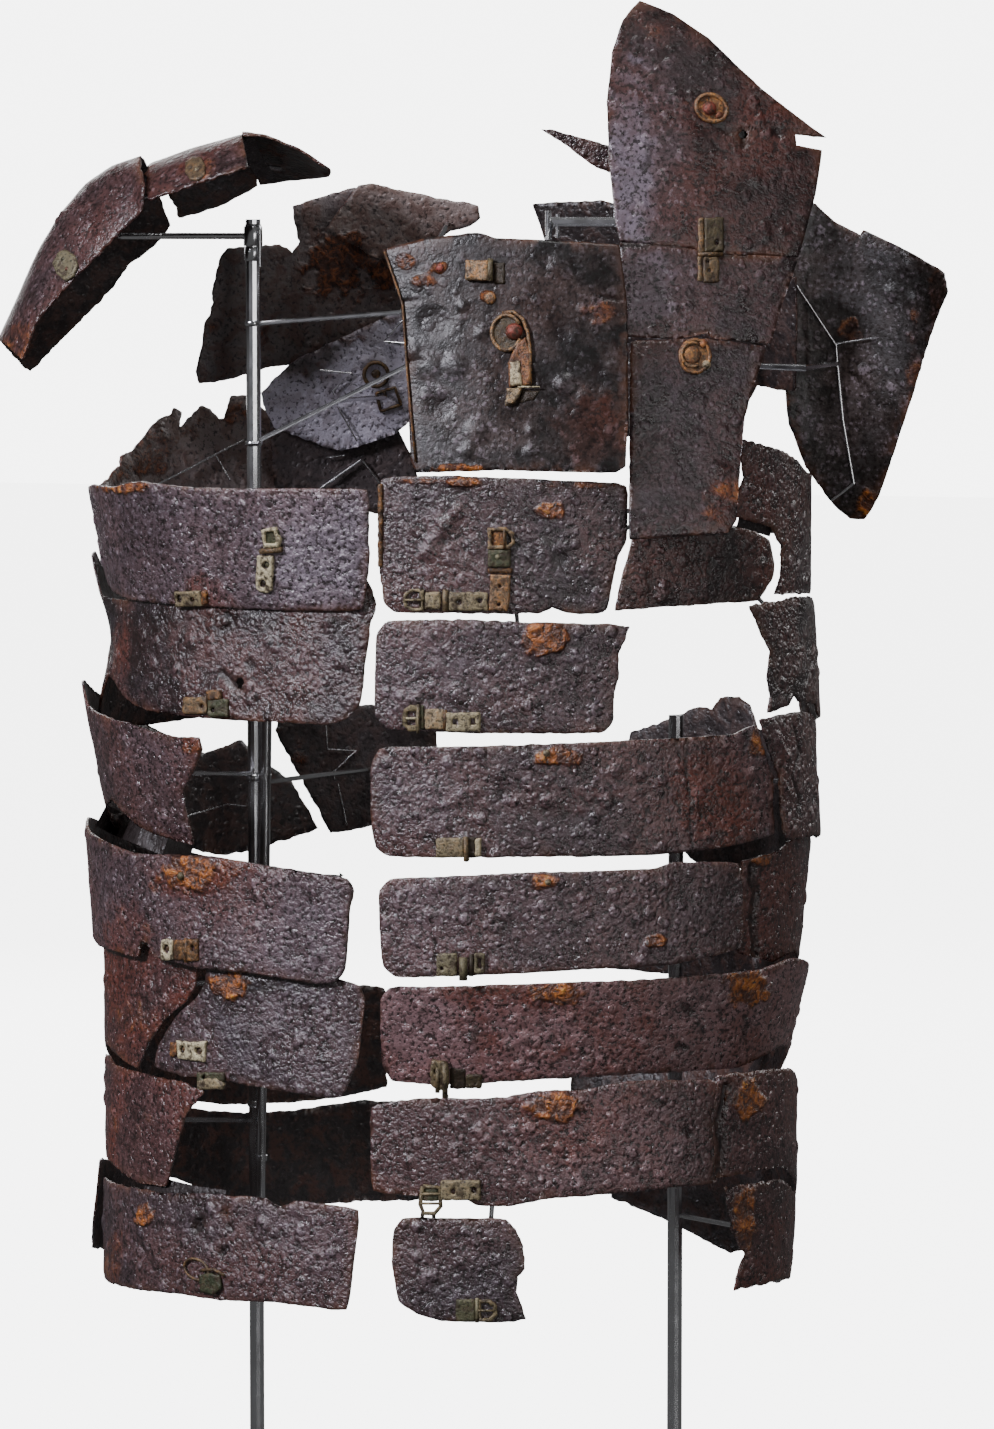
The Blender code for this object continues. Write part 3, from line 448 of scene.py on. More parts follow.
def make_inside_iron():
    """The plates' inner side: darker and duller, with pale tones, bluish by the blue field, as painted light
    where an inner side is seen lit.
    """
    g = Graph("inner_iron")
    broad = g.noise(40.0, 3.0, 0.55, 0.4)
    middling = g.noise(9.0, 4.0, 0.6, 0.5)
    fine = g.noise(2.2, 3.0, 0.6)
    small = g.domes(4.0, 0.15, 0.5)
    tone = g.stir(g.stir(g.field("tone"), broad, 0.6), middling, 0.5, True)
    colour = g.lay((0.020, 0.014, 0.014), (0.090, 0.074, 0.076), tone, 0.0, 0.5)
    # Pale tones, bluish by the blue field, are painted light on the inner sides that are seen lit
    pale = g.mix(g.field("blue"), (0.30, 0.225, 0.200), (0.56, 0.53, 0.64))
    colour = g.lay(colour, pale, tone, 0.35, 1.0)
    colour = g.lay(colour, (0.135, 0.105, 0.105), fine, 0.56, 0.75, 0.0, 0.5)
    reddish = g.times(g.field("red"), g.span(middling, 0.44, 0.62))
    colour = g.mix(g.times(reddish, 0.75), colour, (0.085, 0.032, 0.021))
    colour = g.lay(colour, (0.014, 0.009, 0.009), fine, 0.47, 0.34, 0.0, 0.8)
    rust = g.span(g.stir(g.field("rust"), middling, 1.1), 0.30, 0.80)
    heat = g.noise(4.5, 4.0, 0.7, 0.8)
    ember = g.lay((0.055, 0.016, 0.008), (0.30, 0.090, 0.026), heat, 0.44, 0.68)
    ember = g.lay(ember, (0.018, 0.008, 0.006), fine, 0.48, 0.34)
    colour = g.mix(rust, colour, ember)
    edge = g.times(g.field("rim"), g.span(middling, 0.42, 0.6))
    colour = g.mix(g.times(edge, 0.7), colour, (0.085, 0.040, 0.024))
    rough = g.plus(g.span(middling, 0.3, 0.7, 0.32, 0.5), g.times(rust, 0.3), True)
    height = g.plus(g.times(fine, 0.55), g.times(middling, 1.2))
    height = g.plus(height, g.times(small, 0.28))
    height = g.plus(height, g.times(g.times(heat, rust), 3.0))
    return g.finish(colour, rough, g.bump(height, 1.0), 0.0, 0.6, 0.08, 0.3)


def make_bronze():
    """Old bronze: pale metal, olive and green patina, brown rust stain, by fields on the mesh."""
    g = Graph("old_bronze")
    broad = g.noise(6.0, 3.0, 0.6, 0.5)
    middling = g.noise(3.0, 3.0, 0.6, 0.5)
    fine = g.noise(1.2, 4.0, 0.65)
    colour = g.lay((0.058, 0.046, 0.022), (0.190, 0.152, 0.076), broad, 0.35, 0.65)
    worn = g.times(g.field("pale"), g.span(middling, 0.24, 0.52, 0.45, 1.0))
    colour = g.mix(worn, colour, (0.64, 0.555, 0.360))
    green = g.times(g.field("green"), g.span(middling, 0.34, 0.60, 0.35, 1.0))
    colour = g.mix(green, colour, (0.052, 0.064, 0.032))
    rusty = g.times(g.field("rusty"), g.span(fine, 0.36, 0.60, 0.45, 1.0))
    colour = g.mix(rusty, colour, (0.230, 0.075, 0.026))
    colour = g.mix(g.times(rusty, g.span(middling, 0.48, 0.64)), colour, (0.52, 0.23, 0.065))
    colour = g.mix(g.field("dark"), colour, (0.016, 0.012, 0.009))
    red = g.times(g.field("red"), g.span(middling, 0.3, 0.55, 0.7, 1.0))
    colour = g.mix(red, colour, (0.27, 0.060, 0.042))
    colour = g.lay(colour, (0.050, 0.030, 0.018), middling, 0.48, 0.36, 0.0, 0.75)
    colour = g.lay(colour, (0.022, 0.015, 0.010), fine, 0.49, 0.34, 0.0, 0.85)
    colour = g.lay(colour, (0.040, 0.024, 0.015), broad, 0.46, 0.34, 0.0, 0.6)
    normal = g.bump(g.plus(fine, g.times(middling, 1.2)), 0.45)
    return g.finish(colour, g.span(fine, 0.3, 0.7, 0.34, 0.60), normal, 0.25, 0.5, 0.05, 0.25)


def make_steel(name, colour, low, high, grain):
    """Drawn or brushed steel."""
    g = Graph(name)
    fine = g.noise(grain, 2.0, 0.5)
    return g.finish(colour, g.span(fine, 0.3, 0.7, low, high), g.bump(fine, 0.02, 0.4), 1.0)


# Colours of each iron. Columns: dark, middle, pale, bluish, reddish
BROWN_IRON = ((0.014, 0.007, 0.007), (0.084, 0.050, 0.056), (0.320, 0.265, 0.315), (0.070, 0.074, 0.108),
              (0.135, 0.044, 0.030))
PLUM_TONES = ((0.014, 0.008, 0.008), (0.066, 0.041, 0.045), (0.330, 0.285, 0.360), (0.092, 0.092, 0.135),
              (0.085, 0.028, 0.021))
SLATE_IRON = ((0.010, 0.009, 0.008), (0.036, 0.031, 0.029), (0.135, 0.135, 0.152), (0.040, 0.048, 0.058),
              (0.060, 0.024, 0.016))
IRON = make_iron("corroded_iron", BROWN_IRON, 1.0, 0.22, 1.0)
PLUM_IRON = make_iron("plum_iron", PLUM_TONES, 0.62, 0.26, 0.46)
SLATE = make_iron("slate_iron", SLATE_IRON, 0.36, 0.30, 0.22)
INSIDE = make_inside_iron()
BRONZE = make_bronze()
ROD_STEEL = make_steel("bright_rod", (0.66, 0.66, 0.68), 0.20, 0.26, 9.0)
WIRE_STEEL = make_steel("bright_wire", (0.80, 0.80, 0.82), 0.20, 0.30, 3.0)
BASE_STEEL = make_steel("brushed_base", (0.50, 0.50, 0.52), 0.34, 0.46, 2.0)

# Look of each plate. Columns: tone 0 dark to 1 light, red-brown, blue, blisters per 100 mm2, their radius in
# mm, roughness of the torn edges
LOOKS = {
    "r1_front": (0.64, 0.42, 0.32, 0.7, 2.4, 0.5),
    "r1_back": (0.74, 0.80, 0.05, 0.4, 2.4, 2.0),
    "r2": (0.12, 0.60, 0.30, 0.4, 2.4, 0.8),
    "r3_side": (0.48, 0.62, 0.15, 0.3, 2.0, 1.0),
    "r3_back": (0.16, 0.45, 0.05, 0.3, 2.2, 1.3),
    "r4": (0.56, 0.60, 0.25, 0.5, 2.0, 0.6),
    "r5_side": (0.40, 1.00, 0.10, 0.4, 2.0, 0.8),
    "r5_front": (0.34, 0.25, 0.45, 0.8, 2.2, 0.7),
    "r6": (0.56, 1.00, 0.05, 0.4, 2.0, 1.0),
    "r7_front": (0.36, 0.50, 0.35, 0.9, 2.6, 0.7),
    "r7_back": (0.20, 0.40, 0.10, 0.4, 2.2, 1.2),
    "l1_front": (0.26, 0.50, 0.35, 0.6, 2.3, 0.5),
    "l1_mid": (0.16, 0.75, 0.10, 0.8, 2.3, 0.5),
    "l1_side": (0.40, 0.70, 0.10, 0.5, 2.2, 1.3),
    "l2_front": (0.38, 0.48, 0.40, 0.8, 2.1, 0.6),
    "l2_side": (0.20, 0.60, 0.10, 0.5, 2.2, 1.4),
    "l3_front": (0.38, 0.52, 0.22, 1.0, 2.3, 0.5),
    "l3_side": (0.46, 0.70, 0.10, 0.6, 2.2, 1.4),
    "l3_back": (0.40, 0.40, 0.0, 0.4, 2.2, 1.2),
    "l4_front": (0.48, 0.55, 0.22, 1.0, 2.2, 0.5),
    "l4_side": (0.46, 0.80, 0.10, 0.5, 2.2, 0.8),
    "l5": (0.90, 0.95, 0.10, 0.9, 2.2, 0.6),
    "l6_front": (0.52, 0.80, 0.12, 0.8, 2.2, 0.7),
    "l6_side": (0.50, 0.80, 0.10, 0.5, 2.2, 1.0),
    "l7_front": (0.34, 0.30, 0.30, 0.9, 2.6, 0.8),
    "l7_side": (0.40, 0.85, 0.10, 0.4, 2.2, 1.3),
    "breast_left": (0.12, 0.50, 0.40, 0.04, 3.4, 0.4),
    "shoulder_left_front": (0.20, 0.50, 0.20, 0.40, 2.6, 0.5),
    "shoulder_left_lower": (0.12, 0.55, 0.30, 0.18, 2.4, 0.3),
    "shoulder_left_upper": (0.08, 0.74, 0.15, 0.14, 2.4, 0.35),
    "shoulder_left_scrap": (0.25, 0.50, 0.20, 0.3, 2.0, 1.2),
    "shoulder_left_outer": (0.44, 0.35, 0.50, 0.05, 2.6, 0.5),
    "collar_right": (0.74, 0.85, 0.02, 0.2, 2.0, 0.9),
    "blade_right": (0.56, 0.85, 0.05, 0.3, 2.4, 1.4),
    # Its high tone and blue are painted light on its brightly lit inner side
    "back_right_upper": (0.93, 0.40, 0.85, 0.5, 2.6, 0.9),
    "back_right_lower": (0.34, 0.20, 0.30, 0.4, 2.4, 0.8),
    "collar_left": (0.02, 0.35, 0.15, 0.1, 2.2, 0.6),
    "blade_left": (0.20, 0.40, 0.15, 0.4, 2.4, 0.8),
    "shoulder_right_outer": (0.28, 0.70, 0.20, 0.15, 2.2, 0.8),
    "shoulder_right_inner": (0.28, 0.75, 0.15, 0.15, 2.2, 1.5),
    "shoulder_right_neck": (0.26, 0.80, 0.10, 0.4, 2.2, 1.0),
}

# Patches of rust and crust, by plate. Columns: column and row of the middle, half width and half height in
# pixels of the photograph, rise mm, rust, red-brown
PATCHES = {
    "r1_front": [(122, 488, 24, 6, 0.5, 0.65, 1), (205, 600, 30, 30, 0, 0, 0.8)],
    "r1_back": [
        (150, 450, 26, 32, 0.5, 0.62, 1), (240, 412, 20, 16, 0.4, 0.55, 1), (118, 468, 16, 16, 0.3, 0.6, 1),
        (188, 425, 12, 18, 0.3, 0.45, 1), (200, 452, 24, 20, 0.2, 0.24, 1),
    ],
    "r2": [(140, 650, 34, 34, 0, 0.15, 1)],
    "r3_side": [(192, 742, 12, 14, 0.2, 0.45, 1)],
    "r4": [
        (190, 873, 26, 18, 1.1, 1, 1), (236, 866, 26, 12, 0.2, 0.4, 1), (195, 882, 42, 20, 0.1, 0.34, 1),
        (128, 940, 26, 44, 0, 0.2, 1),
    ],
    "r5_side": [(132, 1017, 22, 18, 0.1, 0.32, 1)],
    "r5_front": [(230, 985, 21, 15, 0.9, 0.98, 1)],
    "r6": [(132, 1120, 26, 40, 0.1, 0.22, 1)],
    "r7_front": [(144, 1215, 9, 11, 0.5, 0.9, 1), (112, 1260, 12, 30, 0.2, 0.35, 1)],
    "l1_front": [
        (548, 511, 16, 9, 0.3, 0.55, 1), (462, 482, 16, 5, 0.8, 0.8, 1), (580, 485, 44, 3, 0.1, 0.4, 1),
        (430, 481, 40, 3, 0.2, 0.5, 1),
    ],
    "l2_front": [(546, 637, 22, 18, 1.1, 1, 1)],
    "l3_front": [
        (558, 757, 29, 9, 0.7, 0.75, 1), (758, 742, 10, 17, 0.5, 0.72, 1), (560, 800, 60, 20, 0, 0.1, 0.8),
        (730, 790, 60, 60, 0, 0, 1),
    ],
    "l4_front": [
        (545, 882, 13, 7, 0.7, 0.7, 1), (656, 941, 10, 7, 0.4, 0.8, 1), (762, 858, 10, 8, 0.5, 0.72, 1),
    ],
    "l4_side": [(762, 858, 10, 8, 0.5, 0.72, 1)],
    "l5": [
        (556, 993, 28, 12, 0.5, 0.78, 1), (748, 987, 21, 19, 0.9, 0.92, 1), (545, 1040, 60, 26, 0, 0.16, 1),
    ],
    "l6_front": [
        (551, 1108, 28, 15, 0.7, 0.82, 1), (590, 1150, 60, 24, 0, 0.18, 1),
        (724, 1104, 10, 18, 0.2, 0.45, 1),
    ],
    "l6_side": [(747, 1100, 17, 20, 0.8, 0.92, 1)],
    "l7_side": [(745, 1214, 13, 32, 0.6, 0.7, 1)],
    "breast_left": [
        (424, 280, 12, 9, 0.2, 0.5, 1), (440, 268, 9, 7, 0.2, 0.62, 1), (404, 262, 12, 8, 0.1, 0.4, 1),
        (590, 430, 40, 40, 0, 0.12, 1), (461, 468, 30, 5, 0.3, 0.7, 1), (598, 312, 20, 14, 0.1, 0.32, 0.9),
        (488, 296, 8, 6, 0.2, 0.55, 1),
    ],
    "shoulder_left_upper": [
        (700, 108, 30, 26, 0, 0.18, 1), (655, 20, 26, 22, 0, 0.18, 1), (745, 110, 60, 14, 0, 0.14, 1),
        (800, 290, 14, 40, 0.1, 0.36, 1),
    ],
    "shoulder_left_front": [(722, 500, 20, 30, 0.1, 0.34, 1)],
    "shoulder_left_outer": [
        (851, 331, 15, 13, 0.1, 0.38, 1), (868, 505, 13, 16, 0.3, 0.62, 1), (914, 400, 9, 90, 0, 0.26, 1),
        (938, 300, 10, 40, 0, 0.24, 1),
    ],
    "blade_right": [
        (340, 262, 34, 36, 1, 0.8, 1), (384, 272, 16, 18, 0.9, 0.8, 1), (263, 320, 12, 36, 0.1, 0.42, 1),
        (213, 333, 11, 9, 0.2, 0.46, 1),
    ],
    "collar_right": [(347, 240, 20, 9, 0.5, 0.66, 1)],
    "back_right_upper": [
        (350, 342, 18, 11, 0.1, 0.36, 1), (372, 318, 40, 12, 0, 0.3, 1), (318, 372, 16, 12, 0, 0.26, 1),
    ],
    "l3_back": [(300, 755, 8, 12, 0.1, 0.4, 1)],
    "r3_back": [(300, 755, 10, 14, 0.1, 0.45, 1)],
    "shoulder_right_outer": [(20, 340, 20, 20, 0.1, 0.35, 1)],
    "shoulder_right_inner": [(200, 170, 24, 12, 0.1, 0.3, 1)],
    "shoulder_right_neck": [(275, 150, 26, 12, 0.1, 0.4, 1)],
}

# Lighter and bluer zones, a painted highlight and bluish sheen; a negative tone makes a zone darker, a
# painted shade. Columns: column and row of the middle, half width and height in pixels, tone, blue
ZONES = {
    "r1_front": [(325, 550, 60, 60, 0.3, 0.2), (130, 540, 40, 60, -0.1, 0)],
    # The dark strips along the tops of r2 and r5_front are painted shadow under the hoop above
    "r2": [(215, 614, 120, 16, -0.45, 0), (290, 665, 60, 40, 0.1, 0.5)],
    "r5_front": [(250, 984, 80, 10, -0.3, 0), (320, 1020, 50, 50, 0.16, 0.5)],
    "r3_side": [(155, 740, 34, 40, 0.12, 0.4)],
    "r4": [(300, 940, 70, 46, 0.14, 0.3)],
    "r7_front": [(320, 1240, 50, 50, 0.16, 0.5)],
    "l1_front": [(425, 540, 50, 50, 0.14, 0.5)],
    "l2_front": [(420, 670, 60, 50, 0.12, 0.5)],
    "l3_front": [(415, 790, 50, 50, 0.14, 0.4), (745, 790, 50, 60, 0.3, 0)],
    "l4_front": [(420, 920, 50, 50, 0.1, 0.3)],
    "breast_left": [
        (448, 415, 46, 56, 0.26, 0.9), (520, 450, 60, 24, 0.16, 0.5), (480, 262, 60, 12, 0.1, 0),
        (560, 370, 60, 60, -0.1, 0),
    ],
    "shoulder_left_upper": [(630, 170, 24, 110, 0.46, 0.8), (650, 170, 44, 110, 0.32, 0.5)],
    "shoulder_left_lower": [(640, 290, 34, 46, 0.34, 0.6), (670, 290, 50, 50, 0.2, 0.3)],
    "l6_front": [(600, 1150, 90, 50, 0.16, 0)],
    "shoulder_left_front": [(650, 400, 30, 40, 0.1, 0.3)],
    "back_right_upper": [(375, 400, 56, 50, 0.3, 0.6), (300, 350, 46, 30, -0.45, 0)],
    # Painted shade over the left part of shoulder_left_outer
    "shoulder_left_outer": [(812, 330, 34, 90, -0.2, 0)],
}

# Scored lines and raised folds. Columns: rise mm, half width in pixels, points
LINES = {
    "shoulder_left_upper": [
        (-1, 1.3, [(616, 243), (640, 244), (662, 244), (681, 245)]),
        (-1, 1.3, [(724, 254), (748, 255), (770, 259), (787, 261)]),
        (-1.2, 2.6, [(719, 128), (727, 132), (734, 131)]), (-2, 3.2, [(744, 131), (745, 138), (745, 145)]),
        (-1.8, 2.6, [(776, 131), (779, 134)]), (-0.7, 1, [(690, 127), (744, 129), (776, 128), (800, 128)]),
    ],
    "shoulder_left_lower": [
        (-1, 1.3, [(616, 245), (640, 246), (662, 246), (690, 248)]),
        (-1, 1.3, [(724, 256), (748, 257), (770, 261), (787, 263)]),
        (-1, 1.6, [(690, 334), (700, 330), (710, 331)]),
    ],
    "breast_left": [
        (-1, 1.6, [(600, 297), (618, 300), (628, 296)]), (-0.7, 1.6, [(402, 302), (418, 300)]),
        (-0.8, 1.6, [(408, 362), (424, 360)]),
    ],
    "l3_front": [
        (-0.8, 1.1, [(688, 741), (686, 770), (691, 800), (690, 826), (694, 853)]),
        (-1, 1.4, [(772, 760), (770, 778), (780, 790), (777, 812), (783, 826)]),
    ],
    "l3_side": [
        (-1.3, 1.5, [(758, 728), (766, 748), (774, 764), (768, 784), (780, 798), (774, 820), (784, 838)]),
        (-1, 1.2, [(794, 726), (800, 752), (792, 776), (800, 800), (794, 826)]),
        (0.9, 2, [(780, 742), (788, 760), (782, 780), (790, 796)]),
    ],
    "l4_front": [(-2.2, 2.3, [(742, 861), (746, 880), (752, 892), (748, 918), (749, 940), (752, 962)])],
    "l4_side": [(-2.6, 2.8, [(752, 866), (752, 880), (757, 892), (753, 918), (755, 940), (757, 962)])],
    "l6_front": [
        (-2.2, 2.5, [(722, 1082), (720, 1104), (714, 1120), (718, 1145), (715, 1178)]),
        (-1.2, 3, [(686, 1130), (690, 1135)]),
    ],
    "l6_side": [(-2.6, 2.8, [(726, 1086), (724, 1104), (719, 1121), (723, 1145), (720, 1176)])],
    "l5": [
        (-1.4, 3, [(684, 1006), (690, 1012)]), (-1.2, 2.6, [(678, 1046), (684, 1048)]),
        (-1.2, 1.4, [(745, 1017), (749, 1025), (744, 1032), (747, 1043)]),
    ],
    "r2": [
        (-1.6, 2.4, [(228, 616), (235, 626), (222, 630), (236, 618)]),
        (-2.2, 3, [(222, 673), (231, 684), (240, 690)]),
    ],
    "back_right_upper": [
        (0.9, 2.2,
         [(361, 371), (364, 362), (372, 358), (382, 360), (388, 367), (389, 377), (384, 386), (374, 389),
          (364, 385), (361, 377), (361, 371)]),
        (0.8, 1.8, [(372, 391), (393, 384), (399, 402), (376, 410), (371, 391)]),
    ],
    "r7_front": [
        (-3, 4.4, [(196, 1230), (199, 1222)]), (-2.6, 3.2, [(222, 1254), (226, 1249)]),
        (-2.2, 2.6, [(223, 1212), (225, 1213)]),
    ],
    "l1_front": [
        (1.3, 5, [(424, 553), (437, 536), (452, 518), (456, 510)]),
        (1, 4.5, [(447, 558), (452, 546), (449, 536)]),
    ],
    "l2_front": [(0.8, 6, [(398, 706), (420, 690), (450, 694), (480, 706)])],
}

# Edges worn further in. Columns: column and row of the middle, half width and height in pixels, depth mm,
# whether on the side that faces the camera
NOTCHES = {
    "r4": [(310, 870, 60, 12, 3.2, False)],
    "r2": [(228, 716, 8, 10, 2.4, True)],
    "l2_front": [(540, 730, 6, 8, 1.2, True)],
    "l1_front": [(560, 609, 12, 6, 1, True)],
}

# Soft domes and dents. Columns: column, row, radius in pixels, rise mm
DENTS = {
    "breast_left": [
        (455, 366, 15, 1.1), (428, 366, 16, 0.9), (482, 333, 9, 0.9), (414, 350, 9, 0.8),
        (463, 306, 8, 0.8), (440, 405, 18, -0.8), (476, 432, 16, 1), (532, 430, 8, 0.9),
        (468, 450, 10, 0.8), (533, 452, 10, 0.9), (584, 396, 9, 0.7), (606, 392, 9, 0.7),
        (596, 372, 10, -0.6), (560, 330, 16, -0.6), (560, 265, 14, 0.7), (434, 322, 20, -0.7),
        (612, 365, 7, 0.7),
    ],
    "l1_front": [
        (440, 522, 10, 1), (430, 552, 12, 0.9), (448, 540, 9, -0.9), (458, 512, 10, 0.9),
        (475, 545, 12, 0.9), (466, 562, 8, 0.7), (412, 530, 7, 0.7), (545, 548, 11, 0.8),
        (560, 560, 10, -0.8),
    ],
    "l2_front": [(460, 692, 12, 0.8), (436, 668, 10, 0.8), (545, 672, 9, 0.8)],
    "l3_front": [
        (500, 775, 8, 0.9), (478, 790, 9, 0.9), (456, 800, 8, 0.8), (548, 781, 7, 0.8), (520, 800, 7, 0.7),
        (432, 786, 8, 0.8), (404, 796, 9, 0.9), (484, 822, 8, 0.8), (640, 792, 7, 0.7), (610, 770, 6, 0.7),
    ],
    "l4_front": [(468, 905, 7, 0.8), (450, 888, 7, 0.8), (520, 912, 7, 0.8), (430, 915, 8, 0.8)],
    "l5": [(470, 1030, 8, 0.8), (440, 1012, 7, 0.7), (520, 1020, 8, 0.8), (580, 1040, 8, 0.7)],
    "l6_front": [(480, 1130, 8, 0.8), (455, 1150, 8, 0.8), (520, 1160, 7, 0.7)],
    "l7_front": [(462, 1262, 9, 0.9), (492, 1240, 8, 0.8)],
    "r2": [(275, 642, 12, 0.9), (340, 660, 10, 0.9), (250, 665, 10, -0.7), (315, 650, 9, 0.8)],
    "r4": [(270, 905, 9, 0.8), (320, 955, 9, 0.9)],
    "r5_front": [(300, 1040, 9, 0.9), (275, 1030, 8, 0.8), (325, 1060, 8, 0.8)],
    "r7_front": [(230, 1228, 8, -0.8)],
    "shoulder_left_upper": [
        (640, 215, 12, 0.7), (765, 236, 9, 0.8), (783, 232, 8, 0.8), (755, 178, 10, 0.7),
    ],
    "shoulder_left_front": [(700, 400, 9, 0.8), (722, 470, 9, 0.8), (660, 440, 8, 0.7)],
    "shoulder_left_outer": [(906, 268, 9, 0.9), (890, 292, 8, 0.8), (910, 300, 8, 0.9)],
}

# Ring-shaped blisters. Columns: column, row, radius in pixels
RINGS = {
    "r1_front": [
        (309, 556, 8), (330, 557, 7), (309, 569, 6), (343, 562, 8), (330, 535, 8), (288, 577, 8),
        (325, 572, 7), (303, 584, 7), (352, 580, 7), (300, 540, 6), (346, 512, 7),
    ],
    "r7_front": [(303, 1232, 9), (318, 1262, 10), (338, 1244, 8)],
    "l7_front": [(470, 1250, 9), (436, 1286, 9)],
}

# Numbers stored on the points of an iron piece
FIELDS = ("tone", "red", "blue", "rust", "relief", "rim")
# Largest edge of the new triangles in mm: outer skin, inner skin, rim
FINE_LIMITS = np.array([2.2, 4.4, 2.0]) * MM
INSIDE_SEEN = np.array([2.4, 2.9, 2.2]) * MM
SEEN_FROM_INSIDE = {"r1_back", "r3_back", "r7_back", "l3_back", "collar_right", "blade_right",
                    "back_right_upper", "back_right_lower", "collar_left", "blade_left",
                    "shoulder_left_outer", "shoulder_right_outer", "shoulder_right_neck"}
# Plates whose inner side is as light as their outer side, a painted light where these inner sides are seen
# lit
PALE_INSIDE = {"r1_back", "collar_right", "blade_right", "back_right_upper", "back_right_lower",
               "shoulder_left_outer"}
# Tone of the inner sides that catch more light, a painted light; of the others it is a share of the plate's,
# up to a limit, a painted shade of the hollow inside
LIT_INSIDE = {"l6_side": 0.26, "l7_side": 0.40, "l3_back": 0.24, "r3_back": 0.22, "r7_back": 0.20}
INSIDE_SHARE = 0.3
INSIDE_MOST = 0.12
SKINS = {"breast_left": SLATE, "shoulder_left_outer": SLATE, "shoulder_left_upper": PLUM_IRON,
         "shoulder_left_lower": PLUM_IRON, "shoulder_left_front": PLUM_IRON,
         "shoulder_right_outer": PLUM_IRON, "shoulder_right_inner": PLUM_IRON}
# How rough each smoother plate's skin is; the others count as 1
SMOOTHER = {"breast_left": 0.16, "shoulder_left_outer": 0.22, "shoulder_left_upper": 0.35,
            "shoulder_left_lower": 0.40, "shoulder_left_front": 0.60, "shoulder_right_outer": 0.50,
            "shoulder_right_inner": 0.50, "blade_right": 0.6, "collar_right": 0.5, "r7_back": 0.6}
# Plates whose corners are worn round
ROUNDED = {"r1_front", "r2", "r4", "r5_front", "r7_front", "l1_front", "l2_front", "l3_front", "l4_front",
           "l5", "l6_front", "l7_front"}

# Noises of the skin, its ragged patches and its torn edges. Columns: noise, share, size mm
SKIN_WAVES = [(WAVES, 0.55, 62.0), (WAVES, 0.28, 25.0)]
SKIN_LUMPS = [(LUMPS, 0.30, 14.0), (LUMPS, 0.10, 6.0), (GRAIN, 0.10, 3.2)]
FLAKES = [(TONES, 1.0, 30.0), (TONES, 0.5, 9.0)]
PATCH_EDGES = [(TONES, 0.35, 7.0), (TONES, 0.2, 3.0)]
BITES = [(EDGES, 0.9, 5.5), (EDGES, 0.6, 2.6), (EDGES, 0.5, 15.0)]
# Lengths: how far a fitting's flat seat, a torn edge and a corner's rounding reach, and how fast rust thins
# and reddens the edge
FITTING_REACH = 5.0 * MM
EDGE_REACH = 7.0 * MM
ROUNDING = 6.5 * MM
THINNING = 2.2 * MM
REDDENING = 2.6 * MM
# How far the torn edge starts outside the solid's, in mm
OUTWARD = 0.55
BLISTER_SHARE = 0.62
INNER_BLISTERS = 0.4
SUNK_SHARE = 0.12
# Fittings' seats: the share of relief left there, and the share of the reach that is quite flat
SEAT_RELIEF = 0.12
SEAT_FLAT = 0.25
# Inner skin: how far its noise is shifted in metres, and its share of the lumps
INNER_SHIFT = 0.3
INNER_LUMPS = 0.7
# Flaking layers: their step in mm, and the level and width of their edge in the noise
FLAKE_STEP = 0.10
FLAKE_LEVEL = 0.22
FLAKE_SOFT = 0.07
# Ring-shaped blisters: place and width of the ring in shares of the radius, its rise in mm, and the share of
# other blisters left inside
RING_PLACE = 0.8
RING_WIDE = 0.22
RING_RISE = 0.7
RING_INSIDE = 0.2
# Rust's thinning at the edge in mm; how torn the edge is along the rim, and over how many mm that changes
THINNED = 0.45
TORN_LEAST = 0.30
TORN_MORE = 0.75
TORN_SIZE = 55.0
# Depth in mm of the bites in a torn edge: its mean, least and most
BITE_MEAN = 0.15
BITE_LEAST = -0.7
BITE_MOST = 2.0
# Share of the rounding that corners get
WORN_CORNER = 0.5
OTHER_CORNER = 0.15
# A patch's oval fades over this much of its radius, and ends this far out
OVAL_SOFT = 0.7
OVAL_END = 1.35


def make_fitting_tree():
    """One search tree over every fitting's solid."""
    points = []
    tris = []
    for name in NODES:
        if name not in LOOKS and not name.startswith("stand"):
            part = solid(name)
            tris += [tuple(int(i) + len(points) for i in tri) for tri in part.tris]
            points += [Vector(p) for p in part.points]
    return BVHTree.FromPolygons(points, tris)


FITTING_TREE = make_fitting_tree()


def layers(points, noises):
    """Sum of several noises at points."""
    return sum(share * noise.at(points, size) for noise, share, size in noises)


def oval(columns, rows, middle_column, middle_row, half_wide, half_high, ragged):
    """1 at the middle of an oval falling to 0 at its ragged edge, in pixels."""
    away = np.hypot((columns - middle_column) / half_wide, (rows - middle_row) / half_high)
    return ease((OVAL_END - away + ragged) / OVAL_SOFT)


def line_gap(columns, rows, path):
    """Pixel distance to a path of points."""
    best = np.full(len(columns), 1e9)
    for (ax, ay), (bx, by) in zip(path[:-1], path[1:]):
        dx = bx - ax
        dy = by - ay
        t = np.clip(((columns - ax) * dx + (rows - ay) * dy) / max(dx * dx + dy * dy, 1e-9), 0.0, 1.0)
        best = np.minimum(best, np.hypot(columns - ax - t * dx, rows - ay - t * dy))
    return best


def add_blisters(height, points, rows, count, radius, rng):
    """Raise domes at random points of a skin; some have sunk in the middle."""
    if len(rows) == 0 or count == 0:
        return
    tree = search_tree(points[rows])
    for centre in rng.choice(rows, size=count):
        size = radius * MM * (0.55 + 1.35 * rng.random() ** 2)
        tall = size / MM * (0.20 + 0.14 * rng.random())
        sunk = rng.random() < SUNK_SHARE
        for _, place, gap in tree.find_range(points[centre], size):
            t = gap / size
            dome = 0.8 * math.exp(-((t - 0.72) / 0.2) ** 2) if sunk else (1.0 - t * t) ** 0.8
            height[rows[place]] = max(height[rows[place]], tall * dome)


